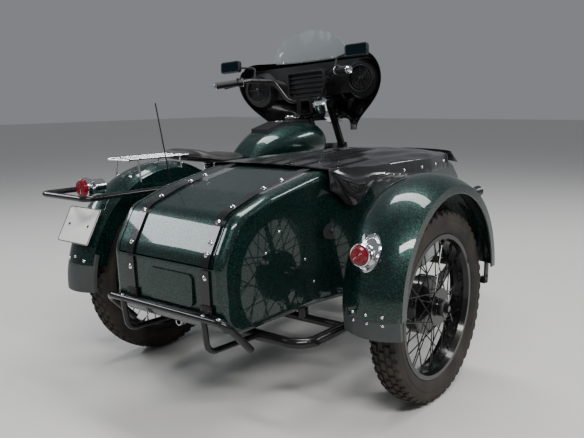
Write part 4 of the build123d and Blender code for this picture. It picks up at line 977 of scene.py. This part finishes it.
beside = (bikeX - farOut, bikeX + farOut)
flapX = (-0.785, -0.732, -0.68)
ringRadius = 0.078
coverRing = [(bikeX + ringRadius * sine, -farOut, 0.355 + ringRadius * cosine) for cosine, sine in circle(8)]
driveRing = [(-farOut, 0.68 + ringRadius * sine, axleZ + ringRadius * cosine) for cosine, sine in circle(6)]
gearboxPlaces = [(-0.01, 0.24), (0.07, 0.24), (0.15, 0.26), (-0.01, 0.4), (0.07, 0.44), (0.15, 0.4)]
bootPlaces = [(0.72, 0.5), (0.67, 0.41), (0.86, 0.62), (0.93, 0.56)]
mudflapPlaces = [(bikeX, farOut, 0.468), (0.38, farOut, 0.455), (0.47, farOut, 0.455)]
chromeBolts = [
    (["tub"], spread([-farOut], bootPlaces), leftwards, 0.005, 0.0035),
    (["mudflaps", "rear_fender"], mudflapPlaces, forwards, 0.006, 0.004),
    (["sidecar_fender"], grid(flapX, [farOut], [0.4]), forwards, 0.0055, 0.004),
    (["mudflaps"], grid(flapX, [farOut], [0.372]), forwards, 0.0055, 0.004),
    (["bumper_bar"], grid((0.06, -0.33, -0.395), [1.152], [0.5]), downwards, 0.008, 0.005),
    (["rear_fender"], grid((0.385, 0.465), (0.56, 0.84), [1.2]), downwards, 0.006, 0.004),
    (["side_boxes"], grid(beside, (0.235, 0.355), (0.5, 0.62)), None, 0.005, 0.003),
    (["crankcase"], coverRing, backwards, 0.006, 0.005),
]
alloyBolts = [
    (["crankcase"], grid(beside, (-0.32, -0.24, -0.16, -0.08), [0.186]), None, 0.0065, 0.005),
    (["gearbox"], spread(beside, gearboxPlaces), None, 0.0065, 0.005),
    (["swingarm"], driveRing, leftwards, 0.006, 0.005),
    (["cylinders"], grid(beside, (-0.2391, -0.1591), (0.353, 0.423)), None, 0.006, 0.005),
]


def buildBolts(bm, rows):
    for nodeNames, starts, direction, radius, height in rows:
        for start in starts:
            towards = direction or (leftwards if start[0] < bikeX else rightwards)
            addBolts(bm, nodeNames, [start], towards, radius, height)


makePiece(buildBolts, chromeBolts, "boltsChrome", "chassis", "chrome")
makePiece(buildBolts, alloyBolts, "boltsEngineAlloy", "chassis", "engine_alloy")
print("bolts done")


# tub: oval plate with its bolt on the right side, brackets at the feet of the straps
tubTrim = {
    "oval": {"y": 0.58, "z": 0.58, "half": (0.0525, 0.031), "sunk": 0.001, "thickness": 0.003},
    "ovalBolt": (0.009, 0.007),
    # x and z of each bracket
    "brackets": [(0.025, 0.408), (-0.33, 0.408)],
    "bracketSize": (0.05, 0.006, 0.034),
    "bracketLift": 0.002,
    "bracketBolts": {"shifts": (-0.014, 0.014), "lift": 0.005, "radius": 0.0055, "height": 0.004},
}


def buildTubTrim(bm, values):
    oval = values["oval"]
    place, normal = surfacePoint(["tub"], (-farOut, oval["y"], oval["z"]), leftwards)
    halfAlong, halfUp = oval["half"]
    outline = [(halfAlong * cosine, halfUp * sine) for cosine, sine in circle(40)]
    addPlate(bm, place - normal * oval["sunk"], backwards, normal, outline, oval["thickness"])
    addDome(bm, place + normal * (oval["thickness"] - oval["sunk"]), normal, *values["ovalBolt"], 20)
    bolts = values["bracketBolts"]
    for x, z in values["brackets"]:
        place, normal = surfacePoint(["tub"], (x, farOut, z), forwards)
        turn = normal.to_track_quat("Y", "Z").to_matrix().to_4x4()
        addBlock(bm, place + normal * values["bracketLift"], values["bracketSize"], turn)
        for shift in bolts["shifts"]:
            centre = place + normal * bolts["lift"] + leftwards * shift
            addDome(bm, centre, normal, bolts["radius"], bolts["height"], 14)


makePiece(buildTubTrim, tubTrim, "tubTrim", "chassis", "black_satin")
print("tub trim done")


# press studs along the cover's skirt
studs = {"places": [-0.27, -0.12, 0.03, 0.18, 0.33], "radius": 0.0065, "height": 0.004, "z": 0.768}


def buildStuds(bm, values):
    for y in values["places"]:
        for found in sidePoints(coverPiece, y, values["z"]):
            if found:
                addDome(bm, *found, values["radius"], values["height"])


makePiece(buildStuds, studs, "coverStuds", "chassis", "chrome")
print("studs done")


# engine: exhaust and carburettor clips, plug caps, and the leads, cables and hoses that end at them
engineTrim = {
    # reach from the bike's middle, y, z, axis, radius, wire, steps
    "rings": [
        (0.3, -0.2631, 0.368, backwards, 0.0225, 0.004, 32),
        (0.3, -0.2721, 0.368, backwards, 0.0235, 0.0035, 32),
        (0.3, -0.2801, 0.368, backwards, 0.0225, 0.003, 32),
        (0.232, 0.1209, 0.174, backwards, 0.04, 0.0022, 36),
        (0.232, 0.6009, 0.174, backwards, 0.04, 0.0022, 36),
        (0.232, 0.3, 0.174, backwards, 0.0395, 0.0022, 36),
        (0.262, -0.0811, 0.386, upwards, 0.0265, 0.0016, 28),
        (0.262, -0.0811, 0.352, upwards, 0.0265, 0.0016, 28),
        (0.262, -0.0811, 0.464, upwards, 0.0215, 0.0016, 28),
        (0.262, -0.032, 0.416, (0, 1, 0.12), 0.0178, 0.0018, 24),
        (0.262, -0.104, 0.413, (0, 1, 0.12), 0.0178, 0.0018, 24),
    ],
    "headBolt": {"place": (0.3645, -0.1991, 0.388), "radius": 0.013, "height": 0.01},
    "plug": {
        "foot": (0.318, -0.2291, 0.454),
        "lean": (0.25, -0.5, 1),
        "cap": [
            (-0.006, 0.0085), (0.004, 0.0085), (0.005, 0.006), (0.016, 0.0055), (0.017, 0.0095),
            (0.042, 0.009), (0.046, 0.006), (0.047, 0.0005),
        ],
        "tip": 0.044,
        "bend": (-0.02, -0.012, 0.03),
    },
    "lead": [(0.2, -0.2191, 0.518), (0.12, -0.1691, 0.543), (0.07, -0.1491, 0.548)],
    "carburettorTop": (0.262, -0.0811, 0.468),
    "topProfile": [
        (-0.003, 0.0175), (0.012, 0.0165), (0.016, 0.008), (0.03, 0.0065), (0.034, 0.003), (0.035, 0.0005)
    ],
    "throttle": [
        (0.262, -0.0811, 0.498), (0.258, -0.0931, 0.543), (0.19, -0.17, 0.63), (0.11, -0.29, 0.705),
        (0.075, -0.37, 0.77), (0.055, -0.4, 0.84),
    ],
    "fuel": [(0.25, -0.0711, 0.41), (0.225, -0.0511, 0.5), (0.17, 0.0, 0.64), (0.13, 0.02, 0.74)],
    "wires": {"lead": 0.0038, "throttle": 0.0032, "fuel": 0.0042},
}


def buildEngineChrome(bm, values):
    bolt = values["headBolt"]
    for side in sides:
        for reach, y, z, axis, radius, wire, steps in values["rings"]:
            addRing(bm, onBike(side, reach, y, z), axis, radius, wire, steps)
        addDome(bm, onBike(side, *bolt["place"]), leftwards * side, bolt["radius"], bolt["height"], 24)


def buildEngineRubber(bm, values):
    plug, wires = values["plug"], values["wires"]
    for side in sides:
        mirror = Matrix.Diagonal((side, 1, 1))
        foot = onBike(side, *plug["foot"])
        along = (mirror @ Vector(plug["lean"])).normalized()
        lathe(bm, plug["cap"], foot, along, 16)
        tip = foot + along * plug["tip"]
        lead = [tip, tip + mirror @ Vector(plug["bend"])]
        addHose(bm, lead + [onBike(side, *point) for point in values["lead"]], wires["lead"])
        lathe(bm, values["topProfile"], onBike(side, *values["carburettorTop"]), upwards, 20)
        for name in ("throttle", "fuel"):
            addHose(bm, [onBike(side, *point) for point in values[name]], wires[name])


makePiece(buildEngineChrome, engineTrim, "engineChrome", "chassis", "chrome")
makePiece(buildEngineRubber, engineTrim, "engineLeads", "chassis", "black_satin", 50)
print("engine trim done")


# springs: coils round the saddle's stands, dust rings on the shock absorbers, peg rubbers
springs = {
    "stands": [(0.491, 0.30005), (0.359, 0.30005)],
    "coil": {"radius": 0.0242, "wire": 0.0034, "turns": 6.5, "steps": 20, "low": 0.7, "high": 0.772},
    "shockX": (0.273, 0.577),
    "shockFoot": (0, 0.64, 0.372),
    "shockHead": (0, 0.56, 0.694),
    # share of the height, radius
    "shockRings": [(0.46, 0.0305), (0.49, 0.0305), (0.94, 0.0305), (0.12, 0.0255), (0.15, 0.0255)],
    "shockWire": 0.0016,
    "pegs": {
        "inner": 0.198, "pitch": 0.0115, "count": 8, "y": 0.0609, "z": 0.33, "radius": 0.0168, "wire": 0.0026,
    },
}


def buildCoils(bm, values):
    coil = values["coil"]
    steps = int(coil["turns"] * coil["steps"])
    for x, y in values["stands"]:
        path = []
        for step in range(steps + 1):
            angle = math.tau * step / coil["steps"]
            z = coil["low"] + (coil["high"] - coil["low"]) * step / steps
            path.append((x + coil["radius"] * math.cos(angle), y + coil["radius"] * math.sin(angle), z))
        addPipe(bm, path, coil["wire"])
    foot, head = Vector(values["shockFoot"]), Vector(values["shockHead"])
    for x in values["shockX"]:
        for share, radius in values["shockRings"]:
            addRing(bm, foot.lerp(head, share) + leftwards * x, head - foot, radius, values["shockWire"], 32)


def buildPegRibs(bm, pegs):
    for side in sides:
        for rib in range(pegs["count"]):
            centre = onBike(side, pegs["inner"] + pegs["pitch"] * rib, pegs["y"], pegs["z"])
            addRing(bm, centre, leftwards, pegs["radius"], pegs["wire"], 24)


makePiece(buildCoils, springs, "coilsAndRings", "chassis", "chrome", 50)
makePiece(buildPegRibs, springs["pegs"], "pegRibs", "chassis", "rubber", 50)
print("springs done")


# tank cap, warning lamps and switch on the console
consoleTrim = {
    "cap": (bikeX, -0.2498, 0.9625),
    "capAxis": (0, -0.0523, 0.9986),
    "capProfile": [
        (-0.002, 0.0342), (0.0012, 0.0335), (0.0026, 0.031), (0.0022, 0.024), (0.0028, 0.0225),
        (0.0029, 0.0004),
    ],
    "capRibs": {"count": 24, "reach": 0.034, "drop": 0.008, "radius": 0.0026, "height": 0.0014},
    "lamps": {"places": [(-0.03, -0.175), (0.0, -0.172), (0.03, -0.175)], "radius": 0.007, "wire": 0.0013},
    "switch": {"y": -0.135, "radius": 0.0125, "wire": 0.0016},
    "switchProfile": [(-0.001, 0.011), (0.004, 0.0105), (0.005, 0.009), (0.0052, 0.0004)],
}


def buildConsoleTrim(bm, values):
    cap, ribs = Vector(values["cap"]), values["capRibs"]
    lathe(bm, values["capProfile"], cap, values["capAxis"], 40)
    for cosine, sine in circle(ribs["count"]):
        centre = cap + Vector((ribs["reach"] * cosine, ribs["reach"] * sine, -ribs["drop"]))
        addDome(bm, centre, (cosine, sine, 0), ribs["radius"], ribs["height"], 8)
    lamps, switch = values["lamps"], values["switch"]
    for x, y in lamps["places"]:
        place, normal = surfacePoint(["tank_console"], (bikeX + x, y, farOut), downwards)
        addRing(bm, place, normal, lamps["radius"], lamps["wire"], 24)
    place, normal = surfacePoint(["tank_console"], (bikeX, switch["y"], farOut), downwards)
    addRing(bm, place, normal, switch["radius"], switch["wire"], 28)
    lathe(bm, values["switchProfile"], place, normal, 24)


makePiece(buildConsoleTrim, consoleTrim, "consoleTrim", "chassis", "chrome")
print("console trim done")


# fork: rubber gaiters over the springs, chrome rings at their ends, axle and stem caps
forkTrim = {
    "foot": (0.104, -0.81, 0.338),
    # where the ribs run along the leg, pitch, outer and inner radius
    "gaiters": [(0.302, 0.329, 0.009, 0.0335, 0.0298), (0.362, 0.42, 0.0095, 0.0325, 0.0285)],
    # a rib: share of the pitch, whether it stands out there
    "rib": [(0, False), (0.35, True), (0.6, True), (0.95, False)],
    "gaiterLip": 0.002,
    "rings": [(0.25, 0.0335), (0.299, 0.0335), (0.331, 0.0335), (0.359, 0.0335)],
    "ringWire": 0.0016,
    "axleCap": {"reach": 0.0265, "radius": 0.014, "height": 0.008},
    "stemCap": {"along": 0.739, "radius": 0.0165, "height": 0.008},
}


def forkPoint(side, along):
    return onBike(side, *forkTrim["foot"]) + forkAxis * along


def buildGaiters(bm, values):
    for side in sides:
        for low, high, pitch, outer, inner in values["gaiters"]:
            count = round((high - low) / pitch)
            lip = inner - values["gaiterLip"]
            profile = [(0, lip)]
            for rib in range(count):
                start = (high - low) * rib / count
                for share, proud in values["rib"]:
                    profile.append((start + pitch * share, outer if proud else inner))
            profile.append((high - low, lip))
            lathe(bm, profile, forkPoint(side, low), forkAxis, 36)


def buildForkRings(bm, values):
    axle, stem = values["axleCap"], values["stemCap"]
    for side in sides:
        for along, radius in values["rings"]:
            addRing(bm, forkPoint(side, along), forkAxis, radius, values["ringWire"], 36)
        outwards = leftwards * side
        axleEnd = forkPoint(side, 0.0) + outwards * axle["reach"]
        addDome(bm, axleEnd, outwards, axle["radius"], axle["height"], 24)
        addDome(bm, forkPoint(side, stem["along"]), forkAxis, stem["radius"], stem["height"], 24)


makePiece(buildGaiters, forkTrim, "forkGaiters", "fork", "rubber", 50, steered)
makePiece(buildForkRings, forkTrim, "forkRings", "fork", "chrome", 40, steered)
print("fork trim done")


# handlebar: ribbed grips, chrome end rings, switches, cables down to the steering head
barTrim = {
    "inner": (0.25, -0.2431, 1.168),
    "outer": (0.385, -0.1111, 1.152),
    "ribs": {"count": 13, "start": 0.008, "pitch": 0.0083, "radius": 0.0168, "wire": 0.0016},
    # switch housing: how far back from the grip's end
    "housing": 0.133,
    # shift from the housing, size, edge
    "switches": [
        ((0, 0.012, 0.018), (0.024, 0.018, 0.012), 0.003), ((0, 0.02, 0.0), (0.012, 0.014, 0.008), 0.002),
    ],
    # shift across, radius
    "cables": [(0.0, 0.0034), (0.008, 0.003), (-0.009, 0.0026)],
    "cableStart": {"back": -0.018, "up": 0.006, "rise": 0.4},
    "cableBend": (0.004, -0.06, 0.012),
    # reach, y, z, and whether the cables are also shifted upwards there
    "cableWay": [
        (0.15, -0.405, 1.15, 1), (0.085, -0.415, 1.085, 0), (0.052, -0.405, 1.015, 0), (0.05, -0.39, 0.985, 0)
    ],
    # place back from the grip's end, radius, wire
    "endRings": [(-0.002, 0.0158, 0.003), (0.1455, 0.0218, 0.0018)],
    "endCap": {"back": -0.0075, "radius": 0.013, "height": 0.003},
    "clampBolt": {"back": 0.134, "shift": (0, -0.014, 0.021), "radius": 0.006, "height": 0.004},
}


def gripLine(side, back):
    # a point on the grip's line, so far back from its end, and the way the line runs
    inner, outer = Vector(barTrim["inner"]), Vector(barTrim["outer"])
    along = (outer - inner).normalized()
    return onBike(side, *(outer - along * back)), Vector((side * along.x, along.y, along.z))


def buildGrips(bm, values):
    ribs, start = values["ribs"], values["cableStart"]
    for side in sides:
        for rib in range(ribs["count"]):
            centre, along = gripLine(side, ribs["start"] + rib * ribs["pitch"])
            addRing(bm, centre, along, ribs["radius"], ribs["wire"], 24)
        centre, along = gripLine(side, values["housing"])
        turn = along.to_track_quat("X", "Z").to_matrix().to_4x4()
        for shift, size, edge in values["switches"]:
            addBlock(bm, centre + Vector(shift), size, turn, edge)
        bendX, bendY, bendZ = values["cableBend"]
        for shift, radius in values["cables"]:
            first = centre + Vector((side * shift, start["back"], start["up"] + shift * start["rise"]))
            way = [first, first + Vector((side * bendX, bendY, bendZ))]
            for reach, y, z, lifted in values["cableWay"]:
                way.append(onBike(side, reach + shift, y, z + shift * lifted))
            addHose(bm, way, radius)


def buildGripEnds(bm, values):
    cap, bolt = values["endCap"], values["clampBolt"]
    for side in sides:
        for back, radius, wire in values["endRings"]:
            addRing(bm, *gripLine(side, back), radius, wire, 28)
        addDome(bm, *gripLine(side, cap["back"]), cap["radius"], cap["height"], 24)
        centre = gripLine(side, bolt["back"])[0] + Vector(bolt["shift"])
        addDome(bm, centre, upwards, bolt["radius"], bolt["height"], 14)


makePiece(buildGrips, barTrim, "gripsAndCables", "fork", "black_satin", 50, steered)
makePiece(buildGripEnds, barTrim, "gripEnds", "fork", "chrome", 40, steered)
print("bar trim done")


# mirrors: glass set in a lip
mirrorTrim = {
    "centre": (0.372, -0.2391, 1.254),
    "normal": (0, 0.9929, 0.1191),
    "glass": {"size": (0.108, 0.047, 0.009), "sunk": 0.0005, "thickness": 0.0011},
    "lip": {"size": (0.113, 0.052, 0.011), "wire": 0.0022},
    "mirrored": {"Metallic": 1.0, "Roughness": 0.03, "Base Color": (0.02, 0.042, 0.058, 1)},
}


def buildMirrorGlass(bm, values):
    glass, normal = values["glass"], Vector(values["normal"])
    for side in sides:
        centre = onBike(side, *values["centre"]) - normal * glass["sunk"]
        addPlate(bm, centre, leftwards, normal, roundedOutline(*glass["size"]), glass["thickness"])


def buildMirrorLips(bm, values):
    for side in sides:
        lip = values["lip"]
        addLip(bm, onBike(side, *values["centre"]), leftwards, values["normal"], lip["size"], lip["wire"])


mirrorGlass = newMaterial("mirrorGlass", mirrorTrim["mirrored"])
makePiece(buildMirrorGlass, mirrorTrim, "mirrorGlass", "fork", "chrome", 40, steered, mirrorGlass)
makePiece(buildMirrorLips, mirrorTrim, "mirrorLips", "fork", "black_satin", 50, steered)
print("mirrors done")


# fairing: radio surround, speaker grilles, screws along the screen, headlamp glass, gauge
fairingTrim = {
    "radio": {"centre": (bikeX, -0.3948, 1.128), "size": (0.216, 0.129, 0.014), "wire": 0.003},
    "speaker": {
        "centre": (0.313, -0.4095, 1.127), "rings": (0.014, 0.026, 0.038, 0.05), "wire": 0.0017,
        "spokes": 8, "spokeReach": 0.0635, "spokeWire": 0.0016, "cap": (0.014, 0.006), "capSunk": 0.002,
        "edge": 0.066, "edgeWire": 0.003, "edgeY": -0.4062,
    },
    "screws": {
        "shifts": [-0.19, -0.095, 0.0, 0.095, 0.19], "y": 0.2, "z": 1.262, "radius": 0.006, "height": 0.0035,
    },
    "headlamp": {
        "centre": (bikeX, -0.7238, 1.01), "bezel": 0.092, "wire": 0.0042,
        "glass": [(0.0005, 0.09), (0.006, 0.0837), (0.011, 0.0666), (0.0145, 0.0405), (0.0155, 0.0005)],
    },
    # heights are counted from the gauge's foot, up the fork's axis
    "gauge": {
        "foot": (0.327, -0.3769, 0.9829), "bezel": 0.04, "wire": 0.0032, "bezelUp": 0.0485, "glassUp": 0.0472,
        "glass": [(0, 0.0375), (0.0016, 0.0365), (0.0022, 0.0005)], "faceUp": 0.0456,
    },
    "ticks": {
        "count": 12, "start": -120, "sweep": 240, "inner": (0.023, 0.026), "outer": 0.031, "wire": 0.0009,
    },
    "needle": {"angle": -118, "tail": -0.006, "tip": 0.024, "wire": 0.0011},
}


def buildFairingTrim(bm, values):
    radio, speaker = values["radio"], values["speaker"]
    addLip(bm, radio["centre"], rightwards, backwards, radio["size"], radio["wire"])
    for side in sides:
        centre = onBike(side, *speaker["centre"])
        for radius in speaker["rings"]:
            addRing(bm, centre, backwards, radius, speaker["wire"], 32)
        for cosine, sine in circle(speaker["spokes"]):
            reach = Vector((cosine, 0, sine)) * speaker["spokeReach"]
            addPipe(bm, [centre, centre + reach], speaker["spokeWire"], 6)
        addDome(bm, centre + forwards * speaker["capSunk"], backwards, *speaker["cap"], 20)
        rim = (centre.x, speaker["edgeY"], centre.z)
        addRing(bm, rim, backwards, speaker["edge"], speaker["edgeWire"], 44)


def buildFairingChrome(bm, values):
    lamp, gauge, screws = values["headlamp"], values["gauge"], values["screws"]
    addRing(bm, lamp["centre"], forwards, lamp["bezel"], lamp["wire"], 56)
    centre = Vector(gauge["foot"]) + forkAxis * gauge["bezelUp"]
    addRing(bm, centre, forkAxis, gauge["bezel"], gauge["wire"], 44)
    # the screws are found on the CAD nodes, which are already turned
    bmesh.ops.transform(bm, matrix=steered, verts=bm.verts)
    starts = [steered @ Vector((bikeX + shift, screws["y"], screws["z"])) for shift in screws["shifts"]]
    ahead = steered.to_3x3() @ forwards
    addBolts(bm, ["windscreen", "fairing_shell"], starts, ahead, screws["radius"], screws["height"], 16)


def buildFairingGlass(bm, values):
    lamp, gauge = values["headlamp"], values["gauge"]
    lathe(bm, lamp["glass"], lamp["centre"], forwards, 48)
    lathe(bm, gauge["glass"], Vector(gauge["foot"]) + forkAxis * gauge["glassUp"], forkAxis, 40)


def buildGaugeMarks(bm, values):
    gauge, ticks, needle = values["gauge"], values["ticks"], values["needle"]
    face = Vector(gauge["foot"]) + forkAxis * gauge["faceUp"]

    def line(angle, start, stop, wire):
        angle = math.radians(angle)
        out = leftwards * math.sin(angle) + forkAxis.cross(leftwards) * math.cos(angle)
        addPipe(bm, [face + out * start, face + out * stop], wire, 6)

    for tick in range(ticks["count"] + 1):
        angle = ticks["start"] + ticks["sweep"] * tick / ticks["count"]
        line(angle, ticks["inner"][tick % 2], ticks["outer"], ticks["wire"])
    line(needle["angle"], needle["tail"], needle["tip"], needle["wire"])


makePiece(buildFairingTrim, fairingTrim, "fairingTrim", "fork", "black_satin", 50, steered)
makePiece(buildFairingChrome, fairingTrim, "fairingChrome", "fork", "chrome")
makePiece(buildFairingGlass, fairingTrim, "fairingGlass", "fork", "clear_glass", 40, steered)
makePiece(buildGaugeMarks, fairingTrim, "gaugeMarks", "fork", "plate_white", 40, steered)
print("fairing trim done")


# plate on the outer end of the sidecar hub, and the stay bracket at that fender's front tip
sidecarTrim = {
    "plate": {"face": (-0.8065, 0.475, axleZ), "half": (0.027, 0.036), "power": 1 / 0.7, "thickness": 0.006},
    "nut": [(0.0, 0.0145), (0.009, 0.0145), (0.012, 0.011), (0.012, 0.0005)],
    "screws": {"places": [(0.0, 0.024), (0.0, -0.024)], "radius": 0.0055, "height": 0.004},
    # centre and size
    "blocks": [((-0.8, 0.104, 0.392), (0.006, 0.034, 0.085)), ((-0.792, 0.106, 0.356), (0.022, 0.03, 0.024))],
    "bolts": {"places": [(-0.803, 0.104, 0.372), (-0.803, 0.104, 0.35)], "radius": 0.007, "height": 0.005},
}


def buildHubPlate(bm, values):
    plate, screws = values["plate"], values["screws"]
    outline = [
        tuple(half * signedPower(share, plate["power"]) for half, share in zip(plate["half"], shares))
        for shares in circle(48)
    ]
    addPlate(bm, plate["face"], backwards, rightwards, outline, plate["thickness"])
    top = Vector(plate["face"]) + rightwards * plate["thickness"]
    lathe(bm, values["nut"], top, rightwards, 6)
    for point in outlineOn(top, backwards, rightwards, screws["places"]):
        addDome(bm, point, rightwards, screws["radius"], screws["height"], 14)


def buildTipBracket(bm, values):
    for centre, size in values["blocks"]:
        addBlock(bm, centre, size)
    for place in values["bolts"]["places"]:
        addDome(bm, place, rightwards, values["bolts"]["radius"], values["bolts"]["height"], 14)


makePiece(buildHubPlate, sidecarTrim, "hubPlate", "sidecar_wheel", "engine_alloy")
makePiece(buildTipBracket, sidecarTrim, "tipBracket", "chassis", "black_satin")
print("sidecar trim done")


# camera fitted to the photograph
photoCamera = {
    "place": (-1.7798, 2.5382, 1.046),
    "yaw": -38.41,
    "pitch": 10.02,
    "roll": -0.64,
    "lens": 41.53,
    "sensor": 36,
}


def addCamera(values):
    yaw, pitch, roll = (math.radians(values[key]) for key in ("yaw", "pitch", "roll"))
    ahead = Vector((-math.sin(yaw) * math.cos(pitch), -math.cos(yaw) * math.cos(pitch), -math.sin(pitch)))
    data = bpy.data.cameras.new("photoCamera")
    data.lens = values["lens"]
    data.sensor_width = values["sensor"]
    camera = addObject("photoCamera", data)
    camera.rotation_mode = "QUATERNION"
    camera.rotation_quaternion = ahead.to_track_quat("-Z", "Y") @ Quaternion((0, 0, 1), roll)
    camera.location = values["place"]
    bpy.context.scene.camera = camera


addCamera(photoCamera)


# plain studio: pale floor, soft box lights and a pale world
studio = {
    "floorSize": 60.0,
    "floor": {"Base Color": (0.62, 0.61, 0.59, 1), "Roughness": 0.32},
    "world": {"Color": (0.75, 0.78, 0.82, 1), "Strength": 0.3},
    "aim": (0, 0, 0.5),
    # name, place, length and width, power, colour
    "lights": [
        ("keyLight", (-3.5, 3.0, 4.2), (3.4, 0.7), 260, (1.0, 0.98, 0.95)),
        ("fillLight", (3.8, 2.6, 3.0), (3.2, 0.8), 110, (0.92, 0.96, 1.0)),
        ("topLight", (0.0, -0.4, 4.8), (4.2, 0.9), 190, (1.0, 1.0, 1.0)),
        ("rimLight", (-3.2, -3.8, 3.2), (3.0, 0.7), 130, (0.95, 0.98, 1.0)),
    ],
}


def addStudio(values):
    bm = bmesh.new()
    bmesh.ops.create_grid(bm, x_segments=1, y_segments=1, size=values["floorSize"] / 2)
    floor = addObject("studioFloor", meshFrom(bm, "studioFloor", newMaterial("studioFloor", values["floor"])))
    world = bpy.data.worlds.new("studioWorld")
    bpy.context.scene.world = world
    world.use_nodes = True
    tree = world.node_tree
    fillSockets(tree, tree.nodes["Background"].inputs, values["world"])
    for name, place, size, power, color in values["lights"]:
        light = bpy.data.lights.new(name, "AREA")
        light.shape = "RECTANGLE"
        light.size, light.size_y = size
        light.energy = power
        light.color = color
        lamp = addObject(name, light)
        lamp.location = place
        lamp.rotation_mode = "QUATERNION"
        lamp.rotation_quaternion = (Vector(values["aim"]) - Vector(place)).to_track_quat("-Z", "Y")


addStudio(studio)
print("camera and studio ready")
